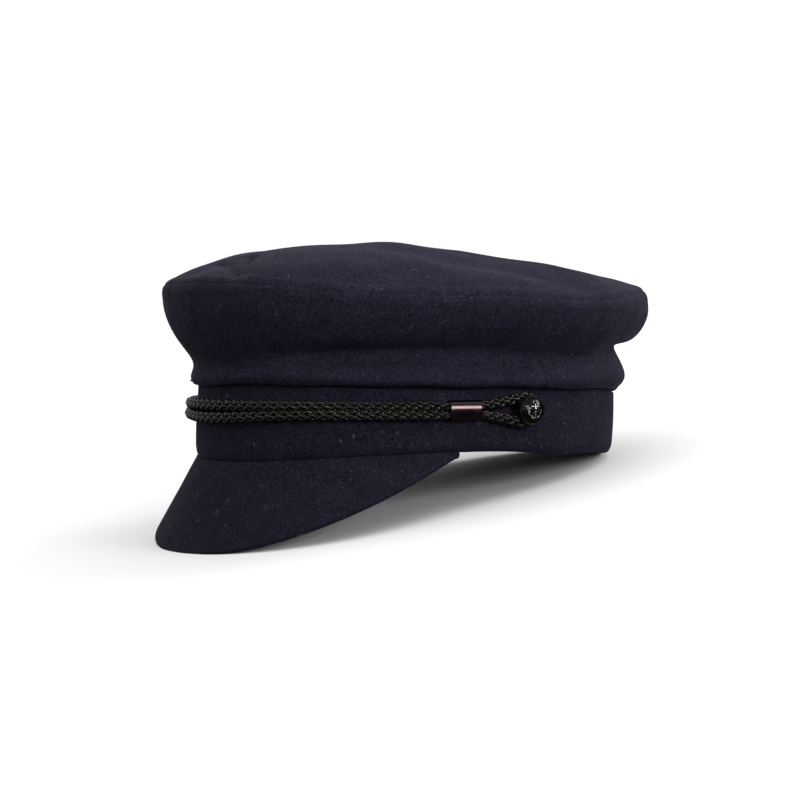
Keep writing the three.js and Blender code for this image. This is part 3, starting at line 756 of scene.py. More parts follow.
def peak_surface(side, v):
    """The peak's upper face, side from -1 to 1 across it and v from 0 at its edge to 1 at the band. It
    slopes down from the rim by peak_slope - peak_flare sin^2, for peak_end + (peak_length - peak_end)
    (1 - |side|^squareness)^taper, and curls down by peak_curl (distance / peak_length)^2."""
    s = sizes()
    side, v = np.broadcast_arrays(side, v)
    angle = side * s.peak_half_angle
    slope = s.peak_slope - s.peak_flare * np.sin(angle) ** 2
    share_left = (1 - np.abs(side) ** s.peak_squareness) ** s.peak_taper
    reach = s.peak_end + (s.peak_length - s.peak_end) * share_left
    down = (1 - v) * reach
    point = above_rim(angle, -s.peak_seat, np.full_like(angle, -0.1 * s.gap))
    point += outward(angle) * (down * np.cos(slope))[..., None]
    point[..., 2] -= down * np.sin(slope) + s.peak_curl * (down / s.peak_length) ** 2
    return point, down, reach


# How far down the peak's edge its upper face comes, as a share of its thickness, which share of the way to
# its ends the mesh goes, and over which share of its length it grows to its full thickness, from which
PEAK_CREST, PEAK_REACH, PEAK_EASE, PEAK_THIN = 0.42, 0.9995, 0.35, 0.7


def peak_section(columns):
    """The peak's upper face and its underside. The underside is thinner and level with the rim at the
    band, square to the slope further down, and both faces round into each other at the edge."""
    s = sizes()
    side = clustered(-PEAK_REACH, PEAK_REACH, columns, PEAK_SIDE_TIGHT)[None]
    v = clustered(0, 1, PEAK_ROWS, PEAK_TIGHT)[:, None]
    upper, down, reach = peak_surface(side, v)
    square = normals(upper, False)
    flat = square * np.array([1, 1, 0])
    level = flat / np.maximum(np.sum(flat ** 2, -1, keepdims=True), 1e-3)
    ease = np.clip((1 - v) / PEAK_EASE, 0, 1)
    ease = (ease * ease * (3 - 2 * ease))[..., None]
    wall = s.peak_wall * (PEAK_THIN + (1 - PEAK_THIN) * ease)
    from_edge = (reach - down)[..., None]
    crest = np.minimum(PEAK_CREST * s.peak_wall, 0.45 * reach[..., None])
    bevel = np.minimum(s.peak_bevel + crest, 0.9 * reach[..., None])
    outer = upper - square * (PEAK_CREST * wall * rounding(from_edge, crest))
    outer[-1, :, 2] += s.gap
    way = level * (1 - ease) + square * ease
    inner = upper - way * (wall - (1 - PEAK_CREST) * wall * rounding(from_edge, bevel))
    return np.stack([outer, inner])


def peak():
    """The peak, covered in the same wool and slightly uneven."""
    outer, inner = peak_section(PEAK_COLUMNS)
    relief = PEAK_UNEVEN * cloth().uneven * waves(outer, "peak")
    relief *= np.linspace(0, 1, len(outer))[:, None] ** 0.3
    points, faces = panel_shell(outer + normals(outer, False) * relief[..., None], inner)
    return piece("wool_peak", "peak", "wool_cloth", points, faces, {"pressed": np.ones_like(points)})


def towards_front(start, distance):
    """The angle at a distance along the band from another angle, towards the front."""
    s = sizes()
    path = np.linspace(start + 0.5, -0.5, 4000)
    x, y, _ = on_oval(path, s.cord_diameter / 2)
    length = np.concatenate([[0], np.cumsum(np.hypot(np.diff(x), np.diff(y)))])
    return np.interp(np.interp(start, path[::-1], length[::-1]) + distance, length, path)


def strand_stations(angle, rise, radius):
    """Places along a strand that lies on the band: middle, way out of the band, and radius."""
    s = sizes()
    angle, rise, radius = np.broadcast_arrays(np.asarray(angle, float), rise, radius)
    v = s.cord_level + rise / band_top(angle)
    return np.column_stack([on_band(angle, v, s.gap + radius), outward(angle), radius])


def squeezed():
    """The radius of a strand inside its sleeve."""
    s = sizes()
    return (s.sleeve_height / 2 - s.sleeve_wall - 1.5 * s.gap) / 2


def band_frame(angle, out):
    """A frame on the band at the cord's level: its place, and x along the band, y up and z out."""
    z = outward(angle)
    y = np.array([0.0, 0.0, 1.0])
    place = on_band(np.array(angle), np.array(sizes().cord_level), out)
    return place, np.stack([np.cross(y, z), y, z])


def sleeve_frame(side):
    """The frame of a sleeve, at its middle."""
    s = sizes()
    turn = towards_front(s.button_angle, s.loop_length + s.sleeve_length / 2)
    return band_frame(side * turn, 2 * s.gap + squeezed() + s.gap + s.sleeve_wall)


# How a strand lies beside the other: how much nearer than its radius, in gaps, how much further away at
# the front, as a share of the cord's diameter, over which angle that eases, and how thick it is
LYING = {"nearer": 1.7, "spread": 0.18, "ease": math.radians(24), "thick": 1.05}


def strand(side, above):
    """One strand from the front's middle to its button, on the left or right, above or below."""
    s = sizes()
    radius = s.cord_diameter / 2
    sleeve_front = towards_front(s.button_angle, s.loop_length + s.sleeve_length)
    free = np.linspace(0, towards_front(sleeve_front, s.cord_diameter), 26)
    spread = radius - LYING["nearer"] * s.gap + LYING["spread"] * s.cord_diameter * bell(free, LYING["ease"])
    lying = strand_stations(side * free, above * spread, LYING["thick"] * radius)
    place, axes = sleeve_frame(side)
    through = np.array([
        [*(place + side * part * s.sleeve_length * axes[0] + above * (squeezed() + s.gap / 2) * axes[1]),
         *axes[2], squeezed()]
        for part in (-0.5, 0, 0.5)])
    away, apart, thick = (np.array([row[k] for row in LOOP]) for k in ("away", "apart", "thick"))
    angles = np.array([towards_front(s.button_angle, a * s.loop_length) for a in away])
    loop = strand_stations(side * angles, above * apart * s.loop_opening / 2, thick * radius)
    return np.concatenate([lying, through, loop])


def turn_round_post(side):
    """The turn behind a button, round its post, from the upper strand to the lower."""
    s = sizes()
    radius = LOOP[-1]["thick"] * s.cord_diameter / 2
    reach = s.post_diameter / 2 + s.gap + radius
    around_post = np.radians([60, 30, 0, -30, -60])
    angles = np.array([towards_front(s.button_angle, -reach * c) for c in np.cos(around_post)])
    return strand_stations(side * angles, s.loop_opening / 2 * np.sin(around_post), radius)


def cord_path():
    """The cord's stations, one closed loop: over the front, round the left post, back below, and round the
    right."""
    return np.concatenate([
        strand(1, 1), turn_round_post(1), strand(1, -1)[::-1],
        strand(-1, -1)[1:], turn_round_post(-1)[::-1], strand(-1, 1)[1:][::-1],
    ])


def closed_curve(stations, count):
    """Evenly spaced places on the smooth closed curve through the stations. Between two stations it is the
    cubic whose slopes are those of the chords beside them, over the length of the way."""
    points = np.concatenate([stations[-1:], stations, stations[:2]])
    knots = np.concatenate([[0], np.cumsum(np.linalg.norm(np.diff(points[:, :3], axis=0), axis=1))])
    slopes = (points[2:] - points[:-2]) / (knots[2:] - knots[:-2])[:, None]
    knots, points = knots[1:-1] - knots[1], points[1:-1]

    def at(length):
        left = np.clip(np.searchsorted(knots, length, side="right") - 1, 0, len(knots) - 2)
        span = (knots[left + 1] - knots[left])[:, None]
        w = (length - knots[left])[:, None] / span
        return ((1 + 2 * w) * (1 - w) ** 2 * points[left] + w * (1 - w) ** 2 * span * slopes[left]
                + w * w * (3 - 2 * w) * points[left + 1] + w * w * (w - 1) * span * slopes[left + 1])

    rough = at(np.linspace(0, knots[-1], 8 * count, endpoint=False))
    steps = np.linalg.norm(np.roll(rough[:, :3], -1, 0) - rough[:, :3], axis=1)
    length = np.concatenate([[0], np.cumsum(steps)])
    even = np.linspace(0, length[-1], count, endpoint=False)
    return at(np.interp(even, length, np.linspace(0, knots[-1], len(length)))), length[-1]


def along_loop(points):
    """The way ahead at each point of a closed path."""
    return unit(np.roll(points, -1, 0) - np.roll(points, 1, 0))


def square_to(out, ahead):
    """Directions made square to the way ahead."""
    return unit(out - ahead * np.sum(out * ahead, 1, keepdims=True))


YARNS_EACH_WAY = 4
SAMPLES_PER_LAY = 48
YARN_SIDES = 7
# Shares of the cord's radius: the yarns' mean distance from its middle, how far they rise and dip where
# they cross, and half their width and thickness
YARN = {"mean": 0.55, "wave": 0.24, "half_width": 0.31, "half_depth": 0.29, "core": 0.36}


def yarn_tube(middle, ahead, out, half_width, half_depth):
    """A closed tube with an oval section, carried along a closed path of points."""
    out = square_to(out, ahead)
    across = np.cross(ahead, out)
    turn = np.arange(YARN_SIDES) * 2 * math.pi / YARN_SIDES
    return (middle[:, None] + out[:, None] * (np.cos(turn)[None, :, None] * half_depth[:, None, None])
            - across[:, None] * (np.sin(turn)[None, :, None] * half_width[:, None, None]))


def braid():
    """The braided cord: eight yarns on the helices angle = +-2 pi s / lay + 2 pi k / 4, at a distance
    mean +- wave cos(4 angle) from the cord's middle, so that each goes over one and under the next, round
    a plain core."""
    s = sizes()
    lays = round(closed_curve(cord_path(), 2000)[1] / s.braid_lay)
    count = lays * SAMPLES_PER_LAY
    path = closed_curve(cord_path(), count)[0]
    middle, radius = path[:, :3], path[:, 6]
    ahead = along_loop(middle)
    out = square_to(path[:, 3:6], ahead)
    across = np.cross(ahead, out)
    run = np.arange(count) / SAMPLES_PER_LAY * 2 * math.pi
    along = np.broadcast_to(run[:, None] / (2 * math.pi) * s.braid_lay, (count, YARN_SIDES))
    around_yarn = np.broadcast_to(np.arange(YARN_SIDES)[None] / YARN_SIDES, (count, YARN_SIDES))
    tubes, marks = [], []
    for way in (1, -1):
        for k in range(YARNS_EACH_WAY):
            turn = way * run + k * 2 * math.pi / YARNS_EACH_WAY
            radial = out * np.cos(turn)[:, None] + across * np.sin(turn)[:, None]
            reach = radius * (YARN["mean"] + way * YARN["wave"] * np.cos(YARNS_EACH_WAY * run))
            line = middle + radial * reach[:, None]
            tubes.append(yarn_tube(line, along_loop(line), radial, YARN["half_width"] * radius,
                                   YARN["half_depth"] * radius))
            number = k + YARNS_EACH_WAY * (way > 0)
            marks.append(np.stack([along, around_yarn, np.full_like(along, number)], -1))
    core = YARN["core"] * radius
    tubes.append(yarn_tube(middle, ahead, out, core, core))
    marks.append(np.zeros((count, YARN_SIDES, 3)))
    points, marks = (np.concatenate(parts).reshape(-1, 3) for parts in (tubes, marks))
    faces = grid_faces(count, YARN_SIDES, True, True)[:, ::-1]
    faces = np.concatenate([faces + k * count * YARN_SIDES for k in range(len(tubes))])
    return piece("braided_cord", "cord", "braided_cord", points, faces.tolist(), {"yarn": marks})


# The power of the sleeves' oval section, and the points along a sleeve and round it
SLEEVE_SECTION, SLEEVE_ROWS, SLEEVE_SIDES = 2.2, 24, 96


def sleeve(side, name):
    """A drawn metal tube of oval section |y / h|^n + |z / d|^n = 1, whose wall is carried round it: along
    the outside, round the lip, back inside and round the other lip."""
    s = sizes()
    place, axes = sleeve_frame(side)
    lip = s.sleeve_wall / 2
    half = s.sleeve_length / 2 - lip
    turn = np.linspace(-math.pi / 2, math.pi / 2, 9)[1:-1]
    straight = np.linspace(-half, half, SLEEVE_ROWS)
    reach, rise = lip * np.cos(turn), lip * np.sin(turn)
    along = np.concatenate([straight, half + reach, straight[::-1], -half - reach])
    inward = np.concatenate([
        np.zeros_like(straight), lip + rise, np.full_like(straight, 2 * lip), lip - rise])
    around_tube = np.linspace(0, 2 * math.pi, SLEEVE_SIDES, endpoint=False)[None]
    cos, sin = np.cos(around_tube), np.sin(around_tube)
    high = s.sleeve_height / 2 - inward[:, None]
    deep = squeezed() + s.gap + s.sleeve_wall - inward[:, None]
    power = 2 / SLEEVE_SECTION
    y = high * np.sign(sin) * np.abs(sin) ** power
    z = deep * np.sign(cos) * np.abs(cos) ** power
    x = np.broadcast_to(along[:, None], y.shape)
    points = (place + np.stack([x, y, z], -1) @ axes).reshape(-1, 3)
    faces = grid_faces(*y.shape, True, True)[:, ::-1]
    return piece(name, name.replace("nickel_", ""), "black_nickel", points, faces.tolist())


def rounded_bar(distance, half_width):
    """A bar's height over its middle line: sqrt(1 - (distance / half width)^2), and 0 beside it."""
    return np.sqrt(np.clip(1 - (distance / half_width) ** 2, 0, 1))


# The anchor, in shares of the field's radius: its bars, its ring, the arc of its arms, and the rope that
# swings across its shank
ANCHOR_BARS = table(
    ("start", "end", "half_width"),
    ((0, 0.52), (0, -0.62), 0.085),
    ((-0.36, 0.34), (0.36, 0.34), 0.08),
    ((0.56, -0.24), (0.62, -0.06), 0.12),
    ((-0.56, -0.24), (-0.62, -0.06), 0.12),
)
ANCHOR_RING = {"up": 0.66, "radius": 0.13, "half_width": 0.055}
ANCHOR_ARC = {"down": 0.02, "radius": 0.6, "half_width": 0.085, "first": -2.75, "last": -0.39}
ANCHOR_ROPE = {"swing": 0.3, "turns": 5.4, "lay": 60, "end": 0.6, "half_width": 0.065, "height": 0.85}


def anchor_relief(x, y):
    """A plain anchor with a rope wound round its shank, as the highest of its rounded bars. The rope's
    middle line is x = swing sin(turns y)."""
    ring, arc, wound = ANCHOR_RING, ANCHOR_ARC, ANCHOR_ROPE
    bars = [rounded_bar(to_segment(x, y, bar["start"], bar["end"])[0], bar["half_width"])
            for bar in ANCHOR_BARS]
    from_ring = np.abs(np.hypot(x, y - ring["up"]) - ring["radius"])
    bars.append(rounded_bar(from_ring, ring["half_width"]))
    bend = np.arctan2(y + arc["down"], x)
    from_arc = np.abs(np.hypot(x, y + arc["down"]) - arc["radius"])
    on_arc = (bend > arc["first"]) & (bend < arc["last"])
    bars.append(rounded_bar(from_arc, arc["half_width"]) * on_arc)
    from_rope = np.abs(x - wound["swing"] * np.sin(wound["turns"] * y + 0.6)) * 0.7
    rope = rounded_bar(from_rope, wound["half_width"]) * (np.abs(y + 0.03) < wound["end"])
    bars.append(wound["height"] * rope * (0.8 + 0.2 * np.cos(wound["lay"] * y)))
    return np.max(bars, axis=0)


# The button's domed field, the middle of its roped rim and the rope's width, as shares of its radius, how
# high the anchor and the rope's turns stand, and how many turns there are. Then the points along its rim,
# its dome and round it.
BUTTON = {"field": 0.78, "rim": 0.89, "wide": 0.075, "anchor": 0.85 * MM, "rope": 0.26 * MM, "turns": 34}
RIM_ROWS, DOME_ROWS, BUTTON_SIDES = 26, 66, 176


def button(side, name):
    """A moulded button turned round its middle: post, back, rounded rim with a roped edge, groove and a
    domed field with the anchor raised on it."""
    s = sizes()
    place, axes = band_frame(side * s.button_angle, s.gap)
    radius, depth = s.button_diameter / 2, s.button_depth
    back = s.cord_diameter * LOOP[-1]["thick"] + s.gap
    field, rim_middle = BUTTON["field"] * radius, BUTTON["rim"]
    post = s.post_diameter / 2
    turn = np.linspace(-math.pi / 2, 0.92 * math.pi, RIM_ROWS)
    rim = [(radius * (rim_middle + (1 - rim_middle) * math.cos(t)), back + depth * (0.26 + 0.3 * math.sin(t)))
           for t in turn]
    shares = np.linspace(1, 0, DOME_ROWS)[:-1]
    dome = [(field * q, back + depth * (0.44 + 0.5 * math.cos(q * math.pi / 2))) for q in shares]
    profile = np.array([(0.5 * post, 0), (0.94 * post, 0), (post, 0.06 * post), (post, back), *rim, *dome])
    around_button = np.linspace(0, 2 * math.pi, BUTTON_SIDES, endpoint=False)[None]
    r, z = profile[:, :1], profile[:, 1:]
    x, y = r * np.cos(around_button), r * np.sin(around_button)
    above = z > back + 0.3 * depth
    relief = np.where(above & (r < 0.985 * field), anchor_relief(x / field, y / field), 0)
    on_rim = bell(r - rim_middle * radius, BUTTON["wide"] * radius) * above
    rope = on_rim * np.cos(BUTTON["turns"] * around_button + 9 * (r / radius - rim_middle) * 2 * math.pi)
    heights = z + BUTTON["anchor"] * relief + BUTTON["rope"] * rope
    crest = np.maximum(relief, 0.9 * rope)
    crest = np.concatenate([crest.ravel(), [0, crest[-1].mean()]])
    front = np.array([0, 0, back + 0.94 * depth + BUTTON["anchor"] * relief[-1].mean()]) @ axes
    points = place + np.stack([x, y, heights], -1) @ axes
    faces = grid_faces(*x.shape, False, True).tolist() + pole_fans(*x.shape)
    return piece(name, name.replace("moulded_", ""), "black_button",
                 np.concatenate([points.reshape(-1, 3), [place, place + front]]), faces,
                 {"crest": np.repeat(crest[:, None], 3, 1)})


def feed(tree, node, inputs):
    """Sets or links a node's inputs, by name or number."""
    for key, value in inputs.items():
        if isinstance(value, bpy.types.NodeSocket):
            tree.links.new(value, node.inputs[key])
        else:
            node.inputs[key].default_value = value


def add(tree, kind, inputs, **settings):
    """Adds a node, sets its settings, and sets or links its inputs."""
    node = tree.nodes.new("ShaderNode" + kind)
    for key, value in settings.items():
        setattr(node, key, value)
    feed(tree, node, inputs)
    return node


def new_material(name, inputs):
    """A material of that name with a Principled shader, its constants set on the shader's own sockets.
    Returns it, its node tree, its shader and the object's own coordinates."""
    material = bpy.data.materials.new(name)
    material.use_nodes = True
    tree = material.node_tree
    shader = tree.nodes["Principled BSDF"]
    feed(tree, shader, inputs)
    return material, tree, shader, add(tree, "TexCoord", {}).outputs["Object"]


def per_metre(length):
    """A texture scale from the size of its pattern."""
    return 1 / length


def noise(tree, place, size, detail, roughness=0.5, distortion=0.0):
    """A noise whose pattern has a size."""
    return add(tree, "TexNoise", {"Vector": place, "Scale": per_metre(size), "Detail": detail,
                                  "Roughness": roughness, "Distortion": distortion}).outputs["Fac"]


def ramp(tree, value, low, high, start=0.0, end=1.0, **settings):
    """A value carried from the span low to high over to the span start to end, and held beyond it."""
    return add(tree, "MapRange", {0: value, 1: low, 2: high, 3: start, 4: end}, **settings).outputs[0]


def work_out(tree, operation, *values):
    """A sum, product or other result of the values."""
    return add(tree, "Math", dict(enumerate(values)), operation=operation).outputs[0]


def blend(tree, part, first, second):
    """The first colour, and as much of the second as part says."""
    return add(tree, "Mix", {0: part, 6: first, 7: second}, data_type="RGBA").outputs[2]


def mark(tree, name, output):
    """An attribute of the mesh."""
    return add(tree, "Attribute", {}, attribute_name=name).outputs[output]


def raised(tree, height, strength, distance):
    """A bump of that height."""
    return add(tree, "Bump", {"Strength": strength, "Distance": distance, "Height": height}).outputs[0]


def wool(name):
    """Melton wool, woven, milled and cropped: a matt felt face with no weave showing, darker between the
    fibres, flecked with paler lint, and a soft bloom where the nap is seen edge on. Where it is pressed
    over the stiff band and peak, the nap lies down and is darker."""
    c = bpy.context.scene.cap_colours
    material, tree, shader, place = new_material(name, {
        "Base Color": (*c.wool, 1), "Roughness": 0.92, "Specular IOR Level": 0.05,
        "Sheen Roughness": 0.35, "Sheen Tint": (*c.sheen, 1)})
    # The fibres are 0.02 mm thick, and the tufts drawn here are as coarse as the picture can show
    tufts = noise(tree, place, 1.0 * MM, 3.0, 0.66, 1.2)
    patches = noise(tree, place, 11 * MM, 3.0, 0.55)
    ground = blend(tree, ramp(tree, tufts, 0.36, 0.66), (*c.wool_dark, 1), (*c.wool, 1))
    laid = work_out(tree, "MULTIPLY_ADD", mark(tree, "pressed", "Fac"), -0.3, 1.0)
    tone = work_out(tree, "MULTIPLY", ramp(tree, patches, 0.3, 0.7, 0.82, 1.18), laid)
    mottled = add(tree, "VectorMath", {0: ground, 3: tone}, operation="SCALE").outputs[0]
    # Lint: curved hairs about 4 mm long, where a slow noise passes one level, and small flecks
    level = work_out(tree, "COMPARE", noise(tree, place, 3.6 * MM, 1.0, distortion=0.8), 0.5, 0.007)
    few = ramp(tree, noise(tree, place, 5.2 * MM, 0.0), 0.66, 0.8)
    cells = add(tree, "TexVoronoi", {"Vector": place, "Scale": per_metre(2.1 * MM)})
    chance = add(tree, "SeparateColor", {0: cells.outputs["Color"]}).outputs[0]
    chosen = work_out(tree, "GREATER_THAN", chance, 0.86)
    speck = ramp(tree, cells.outputs["Distance"], 0.06, 0.18, 1.0, 0.0)
    lint = work_out(tree, "MAXIMUM", work_out(tree, "MULTIPLY", level, few),
                    work_out(tree, "MULTIPLY", speck, chosen))
    fine = noise(tree, place, 0.5 * MM, 2.0, 0.6, 0.8)
    feed(tree, shader, {
        "Base Color": blend(tree, work_out(tree, "MULTIPLY", lint, 0.5), mottled, (*c.wool_lint, 1)),
        "Sheen Weight": ramp(tree, tufts, 0.36, 0.66, 0.018, 0.064),
        "Normal": raised(tree, work_out(tree, "MULTIPLY_ADD", tufts, 0.6, fine), 0.55, 0.22 * MM)})
    return material


def twisted_yarn(name):
    """Rayon yarn, twisted and braided: near black, with a soft shine along the filaments of each yarn and
    dark valleys between the yarns."""
    c = bpy.context.scene.cap_colours
    material, tree, shader, place = new_material(name, {
        "Base Color": (*c.yarn, 1), "Roughness": 0.25, "Specular IOR Level": 0.3,
        "Specular Tint": (1, 0.93, 0.82, 1)})
    along = add(tree, "SeparateXYZ", {0: mark(tree, "yarn", "Vector")}).outputs
    # Each yarn shows a dozen twisted ends, which turn once round it in 9 mm
    turned = work_out(tree, "ADD", work_out(tree, "MULTIPLY", along["X"], per_metre(9 * MM)), along["Y"])
    ridge = work_out(tree, "SINE", work_out(tree, "MULTIPLY", turned, 12 * 2 * math.pi))
    wear = noise(tree, place, 6 * MM, 2.0)
    feed(tree, shader, {"Roughness": ramp(tree, wear, 0.3, 0.7, 0.2, 0.3),
                        "Normal": raised(tree, ridge, 0.3, 0.06 * MM)})
    return material


def black_nickel(name):
    """Brass tube with black nickel plating, polished: a dark smoky mirror with faint smudges."""
    c = bpy.context.scene.cap_colours
    material, tree, shader, place = new_material(name, {
        "Base Color": (*c.nickel, 1), "Roughness": 0.14, "Metallic": 1.0})
    smudge = noise(tree, place, 4 * MM, 3.0)
    feed(tree, shader, {"Roughness": ramp(tree, smudge, 0.3, 0.7, 0.09, 0.2)})
    return material


def lacquered_zinc(name):
    """Cast zinc with a gloss black lacquer: deep black, with the metal bare in flecks on the relief's crests
    where the lacquer is polished off."""
    c = bpy.context.scene.cap_colours
    material, tree, shader, place = new_material(name, {
        "Base Color": (*c.button, 1), "Roughness": 0.1, "Specular IOR Level": 0.1})
    crest = add(tree, "SeparateXYZ", {0: mark(tree, "crest", "Vector")}).outputs["X"]
    flow = noise(tree, place, 1.1 * MM, 1.0)
    bare = work_out(tree, "MULTIPLY", ramp(tree, crest, 0.74, 0.9), ramp(tree, flow, 0.46, 0.54))
    feed(tree, shader, {
        "Metallic": bare, "Base Color": blend(tree, bare, (*c.button, 1), (*c.bare_metal, 1)),
        "Normal": raised(tree, flow, 0.6, 0.2 * MM)})
    return material


def floor_material():
    """Matt white studio vinyl: plain and pale."""
    c = bpy.context.scene.cap_colours
    return new_material("studio vinyl", {"Base Color": (*c.floor, 1), "Roughness": 0.8})[0]


# What each slot is made of: the material's name and the function that makes it
MATERIALS = {
    "wool_cloth": ("melton wool", wool),
    "braided_cord": ("twisted rayon yarn", twisted_yarn),
    "black_nickel": ("black nickel plate", black_nickel),
    "black_button": ("black lacquered zinc", lacquered_zinc),
}

# The photograph's viewpoint, in the cap's own frame: degrees from straight ahead towards the wearer's left,
# degrees above level, the distance, and the point that the picture's middle shows
CAMERA = {"azimuth": 60, "elevation": 1.5, "distance": 1.5, "aim": (0, 0, 0.028)}
# The picture's scale and width in pixels, the pixel that shows that point, and the sensor's width
PIXELS_PER_METRE, PICTURE, AIM_PIXEL, SENSOR = 2087, 800, (405.5, 398), 36.0

# Softboxes: azimuth from the camera's, towards the picture's right, elevation, distance, size and power
LIGHTS = table(
    ("name", "azimuth", "elevation", "distance", "size", "power"),
    ("key", 40, 11, 1.5, (0.48, 0.36), 15),
    ("rim", 112, 16, 1.5, (0.5, 0.5), 9),
)


def facing(azimuth, elevation):
    """The right, up and back directions of what looks at the cap from an azimuth and an elevation."""
    turn, lift = math.radians(azimuth), math.radians(elevation)
    back = np.array([math.sin(turn) * math.cos(lift), -math.cos(turn) * math.cos(lift), math.sin(lift)])
    right = np.array([math.cos(turn), math.sin(turn), 0])
    return np.stack([right, np.cross(back, right), back])


def placed(obj, place, axes):
    """Puts a camera or light at a place, with its own x, y and z along the three axes."""
    matrix = np.eye(4)
    matrix[:3, :3] = np.array(axes).T
    matrix[:3, 3] = place
    obj.matrix_world = Matrix(matrix.tolist())
    bpy.context.scene.collection.objects.link(obj)
    return obj


def camera():
    """The camera at the photograph's viewpoint, turned with the cap as it stands."""
    axes = tipped(facing(CAMERA["azimuth"], CAMERA["elevation"]), resting_place()[0])
    off = np.array([PICTURE / 2 - AIM_PIXEL[0], AIM_PIXEL[1] - PICTURE / 2]) / PIXELS_PER_METRE
    data = bpy.data.cameras.new("view")
    data.sensor_width = SENSOR
    data.lens = PIXELS_PER_METRE * CAMERA["distance"] / PICTURE * SENSOR
    place = settle(np.array(CAMERA["aim"])) + np.array([*off, CAMERA["distance"]]) @ axes
    bpy.context.scene.camera = placed(bpy.data.objects.new("view", data), place, axes)


def softbox(light):
    """A rectangular area light that faces the cap's middle."""
    axes = facing(CAMERA["azimuth"] + light["azimuth"], light["elevation"])
    middle = np.array([0, 0, sum(corner[2] for corner in CAD_BOX) / 2])
    data = bpy.data.lights.new(light["name"], "AREA")
    data.shape = "RECTANGLE"
    data.size, data.size_y = light["size"]
    data.energy = light["power"]
    placed(bpy.data.objects.new(light["name"], data), middle + light["distance"] * axes[2], axes)


# The studio's surround: its radiance, up to the sine of an elevation. It is dark from below, white where
# the picture shows it, a little less further up, and has more light added round a direction near the top.
SURROUND = {
    "under": 0.16, "under_until": -0.04, "low": 1.1, "low_until": 0.08, "upper_from": 0.17, "upper": 1.05,
    "top_from": 0.62, "top_full": 0.86, "top_lean": (0.09, 0.16, 0.98), "top": 0.55,
}
FLOOR_HALF = 30.0


def floor():
    """A level floor under the cap, a grid of squares far larger than the view."""
    side = np.linspace(-FLOOR_HALF, FLOOR_HALF, 5)
    x, y = np.meshgrid(side, side)
    points = np.stack([x, y, np.zeros_like(x)], -1)
    obj = mesh_object("floor", points.reshape(-1, 3), grid_faces(5, 5, False, False).tolist())
    obj.data.materials.append(floor_material())
    obj.visible_diffuse = obj.visible_glossy = False


def world():
    """The surround: radiance by elevation, smooth from each level to the next, and the light overhead."""
    surround = bpy.data.worlds.new("studio")
    surround.use_nodes = True
    tree = surround.node_tree
    u = SURROUND
    way = add(tree, "TexCoord", {}).outputs["Generated"]
    level = add(tree, "SeparateXYZ", {0: way}).outputs["Z"]
    leaning = add(tree, "VectorMath", {0: way, 1: u["top_lean"]}, operation="DOT_PRODUCT").outputs["Value"]
    low, high, rising = (ramp(tree, *values, interpolation_type="SMOOTHSTEP") for values in (
        (level, u["low_until"], u["upper_from"], u["low"], u["upper"]),
        (leaning, u["top_from"], u["top_full"], 0.0, u["top"]),
        (level, u["under_until"], 0.0, u["under"] / u["low"], 1.0)))
    strength = work_out(tree, "ADD", work_out(tree, "MULTIPLY", low, rising), high)
    feed(tree, tree.nodes["Background"], {"Color": (1, 1, 1, 1), "Strength": strength})
    bpy.context.scene.world = surround


class CAP_OT_crown(Operator):
    """Build the crown's top panel and its two wall panels"""

    bl_idname = "cap.crown"
    bl_label = "Crown"

    def execute(self, context):
        top_panel()
        wall_panel("front_wall_panel", "crown_front_wall", 0, FRONT_COLUMNS)
        wall_panel("back_wall_panel", "crown_back_wall", FRONT_COLUMNS - 1, BACK_COLUMNS)
        return {"FINISHED"}


class CAP_OT_band(Operator):
    """Build the stiff band"""

    bl_idname = "cap.band"
    bl_label = "Band"

    def execute(self, context):
        band()
        return {"FINISHED"}


class CAP_OT_peak(Operator):
    """Build the peak"""

    bl_idname = "cap.peak"
    bl_label = "Peak"

    def execute(self, context):
        peak()
        return {"FINISHED"}


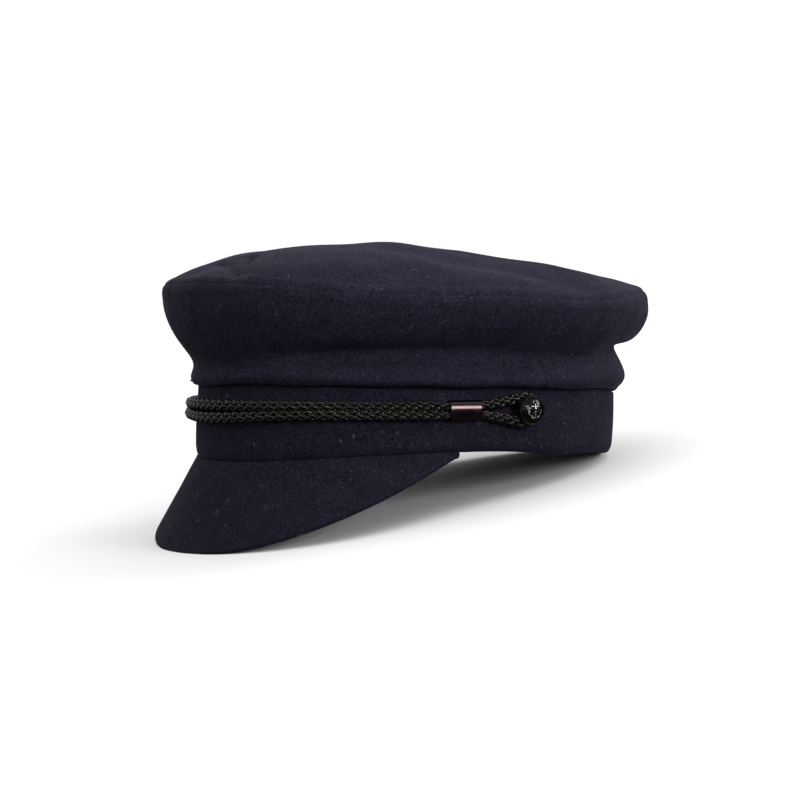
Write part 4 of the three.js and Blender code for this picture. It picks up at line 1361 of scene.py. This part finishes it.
class CAP_OT_cord(Operator):
    """Build the braided cord"""

    bl_idname = "cap.cord"
    bl_label = "Cord"

    def execute(self, context):
        braid()
        return {"FINISHED"}


class CAP_OT_trimmings(Operator):
    """Build the two metal sleeves and the two buttons"""

    bl_idname = "cap.trimmings"
    bl_label = "Sleeves and buttons"

    def execute(self, context):
        for name, side in (("left", 1), ("right", -1)):
            sleeve(side, f"nickel_sleeve_{name}")
            button(side, f"moulded_button_{name}")
        return {"FINISHED"}


class CAP_OT_stage(Operator):
    """Set up the floor, the lights and the camera"""

    bl_idname = "cap.stage"
    bl_label = "Stage"

    def execute(self, context):
        floor()
        world()
        for light in LIGHTS:
            softbox(light)
        camera()
        context.scene.view_settings.view_transform = "Standard"
        return {"FINISHED"}


OPERATORS = (CAP_OT_crown, CAP_OT_band, CAP_OT_peak, CAP_OT_cord, CAP_OT_trimmings, CAP_OT_stage)
GROUPS = {"cap_sizes": CapSizes, "cap_cloth": CapCloth, "cap_colours": CapColours}


class CAP_PT_panel(Panel):
    """The cap's sizes, cloth and colours, and a button for each piece"""

    bl_idname = "CAP_PT_panel"
    bl_label = "Fisherman cap"
    bl_space_type = "VIEW_3D"
    bl_region_type = "UI"
    bl_category = "Cap"

    def draw(self, context):
        for key, group in GROUPS.items():
            box = self.layout.box()
            for name in group.__annotations__:
                box.prop(getattr(context.scene, key), name)
        for operator in OPERATORS:
            self.layout.operator(operator.bl_idname)


def register():
    for kind in (*GROUPS.values(), *OPERATORS, CAP_PT_panel):
        bpy.utils.register_class(kind)
    for key, group in GROUPS.items():
        setattr(bpy.types.Scene, key, PointerProperty(type=group))


def unregister():
    for key in GROUPS:
        delattr(bpy.types.Scene, key)
    for kind in (CAP_PT_panel, *OPERATORS[::-1], *GROUPS.values()):
        bpy.utils.unregister_class(kind)


def main():
    """Builds every piece and the stage."""
    register()
    for operator in (bpy.ops.cap.stage, bpy.ops.cap.crown, bpy.ops.cap.band, bpy.ops.cap.peak,
                     bpy.ops.cap.cord, bpy.ops.cap.trimmings):
        operator()


if __name__ == "__main__":
    main()
